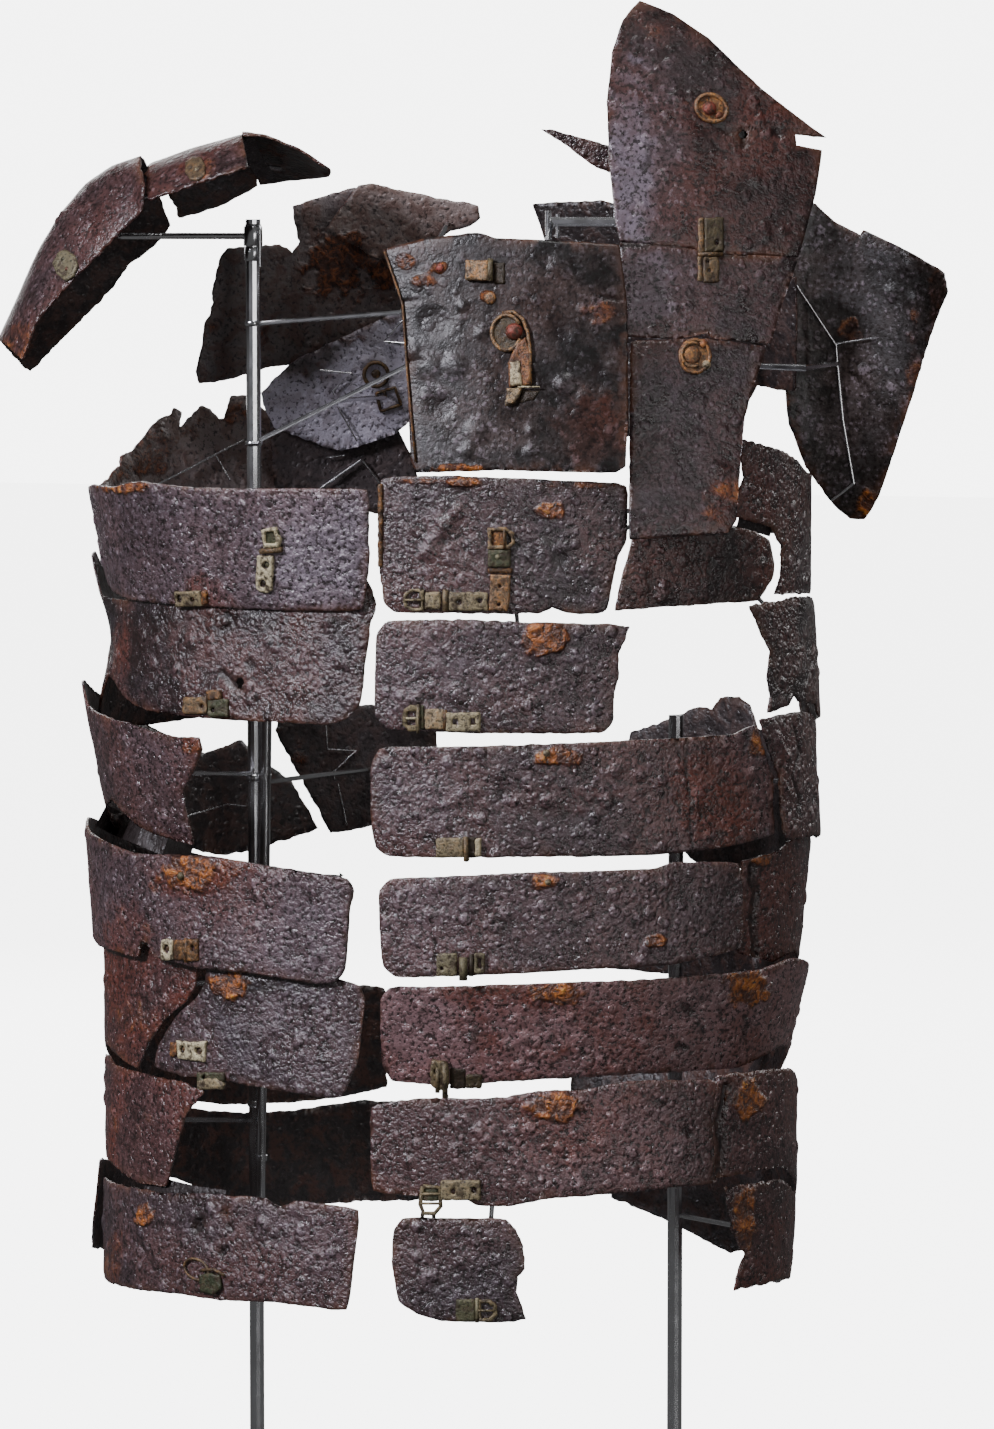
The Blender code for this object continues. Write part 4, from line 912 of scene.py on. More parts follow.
def make_plate(name):
    """One iron plate with its corroded skin, in place of its solid."""
    tone, red, blue, density, radius, torn = LOOKS[name]
    plate = solid(name)
    rng = np.random.default_rng(sum(ord(c) * (i + 3) for i, c in enumerate(name)))
    kinds = sort_faces(plate)
    normals = skin_normals(plate.points, plate.tris, kinds)
    limits = INSIDE_SEEN if name in SEEN_FROM_INSIDE else FINE_LIMITS
    points, normals, tris, kinds = refine(plate.points, normals, plate.tris, kinds, limits)

    on_outer, on_inner, on_rim = np.zeros((3, len(points)), bool)
    for kind, on_kind in ((OUTER, on_outer), (INNER, on_inner), (RIM, on_rim)):
        on_kind[tris[kinds == kind].ravel()] = True
    flat = np.cross(points[tris[:, 1]] - points[tris[:, 0]], points[tris[:, 2]] - points[tris[:, 0]])
    rim_normals = np.zeros_like(points)
    for corner in range(3):
        np.add.at(rim_normals, tris[kinds == RIM][:, corner], flat[kinds == RIM])
    rim_normals /= np.maximum(np.linalg.norm(rim_normals, axis=1), 1e-15)[:, None]
    rim_rows = np.where(on_rim)[0]
    rim_tree = search_tree(points[rim_rows])
    nearest = [rim_tree.find(p) for p in points]
    source = rim_rows[[place for _, place, _ in nearest]]
    gaps = np.minimum([gap for _, _, gap in nearest], EDGE_REACH)

    # A fitting's seat stays flat
    seat = np.ones(len(points))
    for i, p in enumerate(points):
        found = FITTING_TREE.find_nearest(p, FITTING_REACH)
        if found[0] is not None:
            seat[i] = found[3] / FITTING_REACH
    seat = SEAT_RELIEF + (1.0 - SEAT_RELIEF) * ease((seat - SEAT_FLAT) / (1.0 - SEAT_FLAT))

    # The inner skin has its own lumps, and the waves carry both skins the same way
    side = np.where(on_inner, -1.0, 1.0)
    wave = layers(points, SKIN_WAVES)
    other = points + np.where(on_inner, INNER_SHIFT, 0.0)[:, None]
    lump = layers(other, SKIN_LUMPS) + 0.08 * np.abs(GRAIN.at(other, 7.0))
    lump += FLAKE_STEP * (ease((layers(other, FLAKES) - FLAKE_LEVEL) / FLAKE_SOFT) - 0.5)
    lump = np.where(on_inner, lump * INNER_LUMPS, lump) * SMOOTHER.get(name, 1.0)
    blister = np.zeros(len(points))
    areas = np.linalg.norm(flat, axis=1) / 2.0
    for kind, on_kind, share in ((OUTER, on_outer, 1.0), (INNER, on_inner, INNER_BLISTERS)):
        area = areas[kinds == kind].sum() / MM ** 2
        count = int(area * density / 100.0 * share * BLISTER_SHARE)
        add_blisters(blister, points, np.where(on_kind & ~on_rim)[0], count, radius, rng)

    columns, rows = pixel_of(points)
    facing = np.sum(normals * (np.array(EYE) - points), axis=1) > 0
    rust, raised = np.zeros((2, len(points)))
    tones, reds, blues = (np.full(len(points), value) for value in (tone, red, blue))
    ragged = layers(points, PATCH_EDGES)
    crust = 0.5 + 0.6 * np.abs(LUMPS.at(points, 4.5)) + 0.4 * GRAIN.at(points, 2.6)
    for *place, rise_mm, strength, red_here in PATCHES.get(name, ()):
        patch = oval(columns, rows, *place, ragged) * facing
        rust = np.maximum(rust, patch * strength)
        reds = np.maximum(reds, patch * red_here)
        raised += patch * rise_mm * crust
    # Zones paint highlight and sheen, and with a negative tone paint shade
    for *place, tone_here, blue_here in ZONES.get(name, ()):
        zone = oval(columns, rows, *place, ragged) * facing
        tones += zone * tone_here
        blues = np.maximum(blues, zone * blue_here)
    for rise_mm, half, path in LINES.get(name, ()):
        raised += rise_mm * np.exp(-(line_gap(columns, rows, path) / half) ** 2) * facing
    for column, row, size, rise_mm in DENTS.get(name, ()):
        away = np.hypot(columns - column, rows - row) / size
        raised += rise_mm * np.clip(1.0 - away * away, 0.0, 1.0) ** 1.3 * facing
    for column, row, size in RINGS.get(name, ()):
        away = np.hypot(columns - column, rows - row) / size
        ring = RING_RISE * np.exp(-((away - RING_PLACE) / RING_WIDE) ** 2) * facing
        blister = np.maximum(blister * np.where(away < 1.0, RING_INSIDE, 1.0), ring)

    # Rust thins the plate towards its edges
    height = side * wave * seat + (lump + blister) * seat + raised * np.minimum(1.0, seat + 0.2)
    height -= THINNED * np.exp(-gaps / THINNING)
    moved = points + normals * (height * MM)[:, None]

    # Corners worn round
    rounding = np.zeros_like(points)
    for row in rim_rows:
        near = [i for _, i, _ in rim_tree.find_range(points[row], ROUNDING)]
        rounding[row] = points[rim_rows[near]].mean(axis=0) - points[row]
    rounding -= normals * np.sum(rounding * normals, axis=1)[:, None]

    # Torn, ragged edges
    at = points[source]
    wild = TORN_LEAST + TORN_MORE * ease(0.5 + 0.9 * TONES.at(at, TORN_SIZE))
    bite = np.clip(BITE_MEAN + layers(at, BITES), BITE_LEAST, BITE_MOST) * wild * torn - OUTWARD
    seen = facing[source] != on_inner[source]
    for *place, depth, front in NOTCHES.get(name, ()):
        near = oval(columns[source], rows[source], *place, 0.0)
        bite = np.where(seen == front, np.maximum(bite, near * depth), bite)
    fall = (1.0 - gaps / EDGE_REACH) ** 2
    moved -= rim_normals[source] * (bite * fall * MM)[:, None]
    corner_share = WORN_CORNER if name in ROUNDED else OTHER_CORNER
    moved += rounding[source] * (fall * corner_share)[:, None]

    ob = mesh_object(name + "_plate", moved, tris, SKINS.get(name, IRON))
    ob.data.materials.append(SLATE if name == "shoulder_left_outer" else INSIDE)
    ob.data.polygons.foreach_set("material_index", np.where(kinds == INNER, 1, 0))
    # Inner sides are dimmed to a share of the plate's tone, a painted shade of the hollow inside; LIT_INSIDE
    # sets a lighter tone as painted light, and PALE_INSIDE plates keep their tone and blue as painted light
    if name not in PALE_INSIDE:
        dim = np.minimum(tones * INSIDE_SHARE, INSIDE_MOST)
        tones = np.where(on_inner, LIT_INSIDE.get(name, dim), tones)
        blues = np.where(on_inner, 0.0, blues)
    relief = np.clip(lump * 0.9 + blister * 1.1 - 0.1 + 1.4 * np.minimum(raised, 0.0), -1.0, 1.5)
    rim = np.exp(-gaps / REDDENING) * (0.35 + 0.65 * ease(0.5 + TONES.at(points, 40.0)))
    for field, values in zip(FIELDS, (tones, reds, blues, np.clip(rust, 0.0, 1.0), relief, rim)):
        set_field(ob, field, values)
    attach(ob, "root")
    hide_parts(name)


# Dark strips behind seams, holes and gaps, painted shade that makes them read dark. Columns: name, plates,
# path in pixels, half width in pixels, how far behind the plates in mm
BACKINGS = [
    ("seam_backing", ("shoulder_left_upper", "shoulder_left_lower"),
     [(622, 243), (660, 244), (700, 247), (740, 254), (791, 260)], 9.0, 3.6),
    ("hole_backing", ("shoulder_left_upper",), [(724, 131), (745, 137), (785, 134)], 12.0, 3.6),
    ("strap_bridge", ("shoulder_right_neck",), [(247, 140), (251, 152), (258, 164), (264, 174)], 8.0, -21.0),
    ("r3_remnant", ("r3_side",), [(101, 815), (118, 824), (140, 833), (166, 844), (192, 851)], 12.0, 3.4),
    ("r7_bridge", ("r7_front",), [(146, 1182), (170, 1189), (195, 1195), (225, 1199)], 9.0, 3.4),
    ("l1_bridge", ("l1_side", "l1_mid"), [(738, 520), (755, 524), (772, 529)], 8.0, 3.4),
]
BACKING_WALL = 0.9 * MM


def make_backing(name, plates, path, half, behind):
    """A thin dark strip close behind some plates, along a path: painted shade."""
    aims = []
    levels = []
    last = len(path) - 1
    for i, (column, row) in enumerate(path):
        along = np.subtract(path[min(i + 1, last)], path[max(i - 1, 0)])
        across = np.array([-along[1], along[0]]) / np.linalg.norm(along) * half
        trio = [ray_through(column + side * across[0], row + side * across[1]) for side in (-1.0, 0.0, 1.0)]
        hits = [solid(plate).tree.ray_cast(EYE, aim)[3] for aim in trio for plate in plates]
        aims.append((trio[0], trio[2]))
        levels.append(max((hit for hit in hits if hit is not None), default=None))
    known = [level for level in levels if level is not None]
    middle = sum(known) / len(known)
    points = []
    for wall in (0.0, BACKING_WALL):
        for pair, level in zip(aims, levels):
            away = (middle if level is None else level) + behind * MM + wall
            points += [EYE + aim * away for aim in pair]
    back = 2 * len(path)
    faces = [(0, 1, back + 1, back), (2 * last, back + 2 * last, back + 2 * last + 1, 2 * last + 1)]
    for a in range(0, 2 * last, 2):
        faces += [(a, a + 2, a + 3, a + 1), (back + a, back + a + 1, back + a + 3, back + a + 2),
                  (a, back + a, back + a + 2, a + 2), (a + 1, a + 3, back + a + 3, back + a + 1)]
    ob = mesh_object(name, points, faces, INSIDE, False)
    turn_outward(ob)
    # Every field 0 gives the darkest inner iron: painted shade
    for field in FIELDS:
        set_field(ob, field, np.zeros(len(points)))
    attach(ob, "root")


for backing in BACKINGS:
    make_backing(*backing)
for plate_name in LOOKS:
    make_plate(plate_name)


def box(left, top, right, bottom, corner=1.6):
    """A rectangle with round corners, in pixels."""
    points = []
    for x, y, turn in ((right - corner, top + corner, -90), (right - corner, bottom - corner, 0),
                       (left + corner, bottom - corner, 90), (left + corner, top + corner, 180)):
        for step in range(4):
            angle = math.radians(turn + 30 * step)
            points.append((x + corner * math.cos(angle), y + corner * math.sin(angle)))
    return points


def ellipse(column, row, wide, high, tilt=0.0, steps=22):
    """An oval in pixels, tilted by degrees."""
    lean = math.radians(tilt)
    points = []
    for step in range(steps):
        angle = 2.0 * math.pi * step / steps
        x = wide * math.cos(angle)
        y = high * math.sin(angle)
        points.append((column + x * math.cos(lean) - y * math.sin(lean),
                       row + x * math.sin(lean) + y * math.cos(lean)))
    return points


def dense(loop, step=2.0):
    """A closed loop with more points along its sides."""
    points = []
    for (ax, ay), (bx, by) in zip(loop, loop[1:] + loop[:1]):
        count = max(1, int(math.hypot(bx - ax, by - ay) / step))
        for i in range(count):
            points.append((ax + (bx - ax) * i / count, ay + (by - ay) * i / count))
    return points


def worn_loop(loop, most):
    """A loop with its points moved a little, up to most pixels."""
    spots = np.array([(x, y, 0.0) for x, y in loop])
    across = EDGES.at(spots * MM, 5.0) * most
    down = EDGES.at(spots * MM + 7.0, 5.0) * most
    return [(x + a, y + b) for (x, y), a, b in zip(loop, across, down)]


def inside(x, y, loop):
    """Whether a point lies in a closed loop."""
    odd = False
    for (ax, ay), (bx, by) in zip(loop, loop[1:] + loop[:1]):
        if (ay > y) != (by > y) and x < (bx - ax) * (y - ay) / (by - ay) + ax:
            odd = not odd
    return odd


def arch(column, row, wide, high, start, end, level, steps=12):
    """Part of an oval as a path for a bar, in degrees."""
    angles = [math.radians(start + (end - start) * i / steps) for i in range(steps + 1)]
    return [(column + wide * math.cos(a), row + high * math.sin(a), level) for a in angles]


def at_height(loop, high):
    """A loop of pixels as a path for a bar, at one height in mm."""
    return [(x, y, high) for x, y in loop]


SLAB_SKIN = [(GRAIN, 0.20, 2.6), (LUMPS, 0.25, 6.0)]
SHADES = ("pale", "green", "rusty", "dark", "red")
# Edge that eases down at a slab's outline, how wide in pixels and how much in mm; a slab's grid in pixels;
# how far slabs and studs are sunk in mm; and how far off the plate a fitting keeps to its own plane
EASED_WIDE = 1.1
EASED_DEEP = 0.45
GRID_STEP = 1.7
SLAB_SUNK = 0.5
STUD_SUNK = 0.6
OFF_PLATE = 4.0 * MM
BAR_SIDES = 8
STUD_SIDES = 14
STUD_ROUNDS = 5


def tube(spots, radii, lean, sides, closed=False):
    """Points and faces of a round bar through spots; a radius in mm for each, lean(along) is off its line."""
    count = len(spots)
    points = []
    for i, (spot, radius) in enumerate(zip(spots, radii)):
        before = spots[i - 1] if closed or i > 0 else spot
        after = spots[(i + 1) % count] if closed or i < count - 1 else spot
        along = (after - before).normalized()
        across = along.cross(lean(along)).normalized()
        up = across.cross(along)
        for k in range(sides):
            angle = 2.0 * math.pi * k / sides
            points.append(spot + (across * math.cos(angle) + up * math.sin(angle)) * radius * MM)
    faces = []
    for i in range(count if closed else count - 1):
        j = (i + 1) % count
        for k in range(sides):
            m = (k + 1) % sides
            faces.append((i * sides + k, i * sides + m, j * sides + m, j * sides + k))
    if not closed:
        faces += [tuple(reversed(range(sides))), tuple(range((count - 1) * sides, count * sides))]
    return points, faces


class Fitting:
    """Bronze slabs, bars and studs seated on one plate, placed by pixels of the photograph."""

    def __init__(self, plate, column, row):
        self.plate = solid(plate)
        spot, normal = self.plate.hit(column, row)
        self.origin = Vector(spot)
        self.normal = Vector(normal).normalized()
        if self.normal.dot(EYE - self.origin) < 0:
            self.normal = -self.normal
        self.points = []
        self.faces = []
        self.shades = []

    def base(self, column, row):
        """Where a pixel meets the plate or, beyond its edge, the plane through the fitting."""
        aim = ray_through(column, row)
        flat = EYE + aim * ((self.origin - EYE).dot(self.normal) / aim.dot(self.normal))
        found = self.plate.tree.ray_cast(EYE, aim)
        if found[0] is None or (found[0] - flat).length > OFF_PLATE:
            return flat
        return found[0]

    def add(self, points, faces, shade):
        """Keep points, faces and the shade of the points."""
        first = len(self.points)
        self.points += [Vector(p) for p in points]
        self.faces += [tuple(first + i for i in face) for face in faces]
        self.shades += [shade + (0.0,) * (len(SHADES) - len(shade))] * len(points)

    def slab(self, shade, thick, lift, outline, *holes):
        """A plate with eased edges; outline and holes in pixels, thick and lift in mm."""
        loops = [worn_loop(dense(outline), 0.8)] + [worn_loop(dense(hole), 0.4) for hole in holes]
        flat = []
        sides = []
        for loop in loops:
            first = len(flat)
            flat += loop
            sides += [(first + i, first + (i + 1) % len(loop)) for i in range(len(loop))]

        def within(x, y):
            """Whether a spot is in the outline and in no hole."""
            return inside(x, y, loops[0]) and not any(inside(x, y, hole) for hole in loops[1:])

        def room_at(spots):
            """Distance of spots to the nearest edge."""
            return np.min([line_gap(spots[:, 0], spots[:, 1], loop + [loop[0]]) for loop in loops], axis=0)

        low = np.min(outline, axis=0) + 0.8
        high = np.max(outline, axis=0)
        grid = np.array([(x, y) for x in np.arange(low[0], high[0], GRID_STEP)
                         for y in np.arange(low[1], high[1], GRID_STEP)])
        flat += [tuple(spot) for spot, gap in zip(grid, room_at(grid)) if gap > 0.5 and within(*spot)]
        made = delaunay_2d_cdt([Vector(p) for p in flat], sides, [], 0, 1e-5)
        spots = np.array([p[:] for p in made[0]])
        tris = [tuple(tri) for tri in made[2] if within(*spots[list(tri)].mean(axis=0))]
        fall = EASED_DEEP * (1.0 - np.minimum(1.0, room_at(spots) / EASED_WIDE)) ** 2
        top = []
        foot = []
        for (x, y), drop in zip(spots, fall):
            spot = self.base(x, y)
            rough = layers(np.array([spot]), SLAB_SKIN)[0]
            top.append(spot + self.normal * (lift + thick - drop + rough) * MM)
            foot.append(spot + self.normal * (lift - SLAB_SUNK) * MM)
        count = len(top)
        used = {edge: True for a, b, c in tris for edge in ((a, b), (b, c), (c, a))}
        walls = [(b, a, a + count, b + count) for a, b in used if (b, a) not in used]
        faces = tris + [tuple(i + count for i in reversed(tri)) for tri in tris] + walls
        a, b, c = (top[i] for i in tris[0])
        if (b - a).cross(c - a).dot(self.normal) < 0:
            faces = [tuple(reversed(face)) for face in faces]
        self.add(top + foot, faces, shade)

    def bar(self, shade, radius, path, closed=False):
        """A round bar through (column, row, height mm) points, radius in mm."""
        spots = [self.base(x, y) + self.normal * high * MM for x, y, high in path]
        self.add(*tube(spots, [radius] * len(spots), lambda along: self.normal, BAR_SIDES, closed), shade)

    def stud(self, shade, column, row, radius, high, lift):
        """A domed rivet head; radius, height and lift in mm."""
        centre = self.base(column, row) + self.normal * lift * MM
        across = self.normal.cross(UP).normalized()
        up = self.normal.cross(across)
        points = []
        for ring in range(STUD_ROUNDS):
            lean = math.pi / 2.0 * ring / STUD_ROUNDS
            level = high * math.sin(lean) if ring else -STUD_SUNK
            for k in range(STUD_SIDES):
                angle = 2.0 * math.pi * k / STUD_SIDES
                out = (across * math.cos(angle) + up * math.sin(angle)) * radius * math.cos(lean)
                points.append(centre + (out + self.normal * level) * MM)
        points.append(centre + self.normal * high * MM)
        faces = [tuple(range(STUD_SIDES))]
        for k in range(STUD_SIDES):
            m = (k + 1) % STUD_SIDES
            for a in range(0, (STUD_ROUNDS - 1) * STUD_SIDES, STUD_SIDES):
                faces.append((a + m, a + k, a + STUD_SIDES + k, a + STUD_SIDES + m))
            top = (STUD_ROUNDS - 1) * STUD_SIDES
            faces.append((top + m, top + k, top + STUD_SIDES))
        self.add(points, faces, shade)

    def finish(self, name):
        """Make the object, in place of the solid of that name if there is one."""
        ob = mesh_object(name + "_bronze", self.points, self.faces, BRONZE)
        turn_outward(ob)
        for i, shade_name in enumerate(SHADES):
            set_field(ob, shade_name, [shade[i] for shade in self.shades])
        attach(ob, "root")
        if name in NODES:
            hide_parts(name)


# Shades of old bronze. Columns: pale, green, rusty, dark, red; those left out are 0
CREAM = (1,)
STRAW = (0.3, 0.14, 0.1)
OLIVE = (0.15, 0.35, 0.1)
MOSS = (0.12, 0.9, 0, 0.1)
BROWN = (0, 0.1, 0.55, 0.25)
RUSTY = (0.1, 0, 0.9)
TAN = (0.3, 0.1, 0.35)
DARK = (0, 0.2, 0.15, 0.85)
RED = (0, 0, 0.2, 0, 1)
OLD_IRON = (0, 0, 0.35, 0.42)

# Where each fitting sits: its plate, and column and row of its anchor
FITTINGS = {
    "r1_buckle": ("r1_front", 266, 560), "r1_hinge": ("r1_front", 190, 598), "r2_hinge": ("r2", 206, 700),
    "r4_hinge": ("r4", 180, 950), "r5_hinge": ("r5_front", 195, 1050), "r5_lower": ("r5_front", 210, 1076),
    "l1_buckle": ("l1_front", 470, 590), "l2_buckle": ("l2_front", 440, 716),
    "l3_hinge": ("l3_front", 460, 846), "l4_hinge": ("l4_front", 460, 962), "l5_hinge": ("l5", 452, 1072),
    "l6_buckle": ("l6_front", 462, 1190), "l7_hinge": ("l7_front", 474, 1308),
    "shoulder_hinge": ("shoulder_left_upper", 710, 238), "breast_hinge": ("breast_left", 482, 272),
    "breast_hook": ("breast_left", 510, 345), "shoulder_rosette": ("shoulder_left_upper", 710, 108),
    "shoulder_disc": ("shoulder_left_front", 694, 356), "strap_boss": ("shoulder_right_outer", 66, 266),
    "strap_plate": ("shoulder_right_inner", 194, 170), "breast_edging": ("breast_left", 410, 330),
    "l1_edging": ("l1_front", 386, 530), "back_buckle": ("back_right_upper", 376, 374),
    "l3_knob": ("l3_front", 550, 755), "l4_knob": ("l4_front", 550, 884), "r4_knob": ("r4", 184, 874),
    "r7_fitting": ("r7_front", 212, 1280),
}

# Slabs of each fitting. Columns: shade, thickness mm, lift mm, outline, any holes
SLABS = {
    "r1_buckle": [
        (CREAM, 2.6, 0, [(263, 529), (277, 527), (282, 540), (280, 547), (266, 547)],
         [(267, 531.5), (276, 530), (278.5, 540), (277, 542.5), (267.5, 542.5)]),
        (MOSS, 1.2, 0, box(265, 530, 280, 545)),
        (CREAM, 1.9, 0,
         [(259, 555), (274.5, 555.5), (274, 578), (272.5, 590), (269, 592.5), (259.5, 590), (257, 585)],
         ellipse(267.5, 564.5, 3.5, 3.7), ellipse(264, 583, 3.2, 3.8)),
    ],
    "r1_hinge": [
        (STRAW, 1.7, 0, [(175.5, 591.5), (201, 590.5), (204, 605.5), (177.5, 607)],
         ellipse(180.5, 598, 2.4, 4), ellipse(194, 599, 2, 2.4)), (RUSTY, 1.9, 0, box(203, 590, 208, 604)),
    ],
    "r2_hinge": [
        ((0.15, 0.35, 0.35), 1.6, 0, box(184, 697, 208, 714), ellipse(203, 706, 1.8, 2.4)),
        (MOSS, 1.6, 0, box(209, 699, 229, 717), ellipse(214, 710, 2.2, 2.4)),
        (BROWN, 2.2, 0, box(208, 690, 222, 700)),
    ],
    "r4_hinge": [
        (CREAM, 1.9, 0, box(163, 939, 174, 960), ellipse(168, 948.5, 3.2, 4.6)),
        (BROWN, 1.4, 0, box(175, 940, 187, 960)),
        (BROWN, 1.6, 0, box(188, 939, 199, 961), ellipse(194, 948, 1.8, 3)),
    ],
    "r5_hinge": [
        (CREAM, 2, 0, [(178, 1040), (191, 1042), (207, 1041), (206, 1062), (180, 1058)],
         ellipse(184, 1049, 2.6, 4), ellipse(200.5, 1051, 3.6, 3.8)),
        (RUSTY, 1.4, 0, box(171, 1042, 178, 1056)),
    ],
    "r5_lower": [
        (MOSS, 1.4, 0, box(198, 1072, 225, 1082), ellipse(205, 1077, 2, 2)),
        (STRAW, 1.6, 0.3, [(199, 1081), (209, 1078), (218, 1078), (226, 1084), (224, 1089), (199, 1089)]),
    ],
    "l1_buckle": [
        (TAN, 2.4, 0, [(488, 528), (506, 527), (514, 533), (515.5, 543), (510, 549), (488, 549)],
         [(492, 531), (503.5, 530.5), (503.5, 545), (492, 545)],
         [(506.5, 532), (511, 536), (512, 542), (507, 545)]), (RUSTY, 1, 0, box(491, 530, 505, 546)),
        (MOSS, 2.2, 0, box(488, 549.5, 511, 567)), (BROWN, 1.5, 0, box(488, 568, 512, 573)),
        ((0.3, 0.1, 0.65), 2, 0, [(491, 574), (511, 575), (510, 600), (507.5, 611), (489, 610)],
         ellipse(500, 586, 1.6, 1.8), ellipse(499, 604, 2, 1.8)),
        (STRAW, 1.9, 0,
         [(424, 589), (424, 611), (412, 611), (405, 607), (402.5, 600), (405, 592), (412, 588.5)],
         [(419.5, 592), (419.5, 598.5), (406, 598.5), (409, 593.5), (413, 591.5)],
         [(419.5, 601), (419.5, 608), (413, 608), (408.5, 605.5), (406, 601)]),
        ((0.42, 0.2, 0.12), 1.5, 0, box(425, 592, 441, 609)),
        (STRAW, 1.6, 0, box(449, 592, 488, 610.5), ellipse(459.5, 602.5, 2.6, 2.8),
         ellipse(480, 600.5, 2.6, 2.8)),
    ],
    "l2_buckle": [
        (OLIVE, 1.9, 0,
         [(418, 705), (418, 731), (409, 731), (403.5, 725), (402.5, 716), (405, 708), (411, 704.5)],
         box(408, 711, 416.5, 717, 1), box(407.5, 719.5, 416, 725, 1)),
        (MOSS, 1.3, 0, box(419, 705, 424, 729)), ((0.45, 0.05, 0.3), 1.5, 0, box(425, 709, 444, 729)),
        ((0.5, 0.12, 0.05), 1.8, 0, box(446, 712.5, 481, 731.5), box(453, 719, 458.5, 724.5, 0.8),
         box(471, 718, 475.5, 724.5, 0.8)),
    ],
    "l3_hinge": [
        ((0.35, 0.3, 0.15), 2.2, 0, box(436.5, 837.5, 464, 857)), (DARK, 0.5, 0, box(466, 837, 476, 857)),
        ((0.75, 0.05, 0.1), 2.2, 0, box(475.5, 838, 481.5, 856.5)),
    ],
    "l4_hinge": [
        ((0.4, 0.6, 0.05), 1.8, 0, box(437, 953, 457, 976), ellipse(442, 968, 1.8, 1.8)),
        ((0.35, 0.6, 0.05), 1.9, 0, box(474.5, 953, 485, 973), box(478, 958, 481.5, 968, 1)),
    ],
    "l5_hinge": [
        ((0.3, 0.45, 0.15), 2.4, 0,
         [(431, 1064), (436, 1060), (446, 1061), (449.5, 1070), (449, 1088), (437, 1089), (431, 1083)],
         ellipse(436, 1070, 1.6, 2.6)), (DARK, 0.4, 0, box(450, 1068, 466, 1089)),
        ((0, 0.6, 0.1, 0.5), 1.4, 0, box(466, 1074, 482, 1088)),
    ],
    "l6_buckle": [
        (STRAW, 1.7, 0, box(441, 1180, 481, 1200), ellipse(453.5, 1191, 2.4, 2.8),
         ellipse(474, 1189.5, 2.8, 3.2)), (MOSS, 1, 0, box(423, 1187, 438, 1201)),
    ],
    "l7_hinge": [
        ((0.12, 0.75), 1.6, 0, box(456, 1299, 475.5, 1321)),
        (OLIVE, 1.7, 0,
         [(479, 1299), (491, 1299.5), (497, 1305), (497.5, 1315), (492, 1321), (479, 1321.5)],
         [(481.5, 1303), (488.5, 1303), (493, 1307), (493, 1314), (488.5, 1318), (481.5, 1318)]),
    ],
    "shoulder_hinge": [
        ((0, 0.45, 0.1, 0.45), 1.9, 0, box(704, 218, 723, 252), ellipse(716.5, 243, 2, 2.6)),
        ((0.25, 0, 0.55, 0.1), 1.5, 0, box(698, 218, 703.5, 253, 1)),
        ((0.1, 0.05, 0.3, 0.4), 1.6, 0, box(703, 257, 718.5, 283), ellipse(707.5, 262, 1.6, 1.6),
         ellipse(709, 271, 1.6, 1.6)), ((0.2, 0, 0.35, 0.25), 1.1, 0, box(697.5, 256, 702, 281, 1)),
    ],
    "breast_hinge": [
        # The dark thin slab right of the hinge box is a painted shadow of the box
        ((0.3, 0.05, 0.55, 0.05), 3.6, 0, box(467, 261, 490, 281)), (DARK, 0.8, 0, box(494, 263, 505, 284)),
    ],
    "breast_hook": [
        ((0, 0.55, 0.2, 0.6), 1.1, 0, ellipse(507, 333, 16, 19)),
        ((0.05, 0, 0.75, 0.15, 0.15), 2.4, 0,
         [(517, 344), (526, 338), (531, 352), (531.5, 385), (510, 387.5), (509, 363), (514, 352)]),
        ((0.85, 0, 0.2), 2.2, 1.2, [(511.5, 363), (521, 361), (523, 386), (511.5, 386.5)]),
        ((0.55, 0.15, 0.4), 2.6, 0.4, [(508, 389), (523, 389), (520, 397), (514, 404), (506, 406)]),
        # This dark thin slab below the hook's right side is a painted shadow
        (DARK, 0.5, 0, [(522, 390), (540, 391), (534, 400), (518, 404)]),
    ],
    "shoulder_rosette": [(RUSTY, 1, 0, ellipse(711, 108.5, 17, 14, 25))],
    "shoulder_disc": [((0.15, 0.1, 0.65, 0.15), 0.9, 0, ellipse(694.5, 356.5, 16, 17.5))],
    "strap_boss": [
        ((0.4, 0.6, 0.05, 0.18), 1.5, 0,
         [(66, 250), (76, 256), (79, 267), (74, 277), (67, 282), (58, 275), (54, 264), (58, 254)]),
    ],
    "strap_plate": [
        ((0.18, 0.1, 0.35, 0.38), 1.5, 0,
         [(186, 163), (193, 158), (201, 158), (206, 166), (206, 175), (199, 181), (191, 181), (186, 174)]),
    ],
    "l1_edging": [((0.05, 0, 0.65, 0.35), 0.9, 0, box(378, 484, 382.5, 567, 1))],
    "r7_fitting": [
        ((0, 1, 0, 0.15), 1.6, 0.8,
         [(201, 1275), (211, 1272), (222, 1275), (223, 1288), (216, 1294), (203, 1292)]),
    ],
}

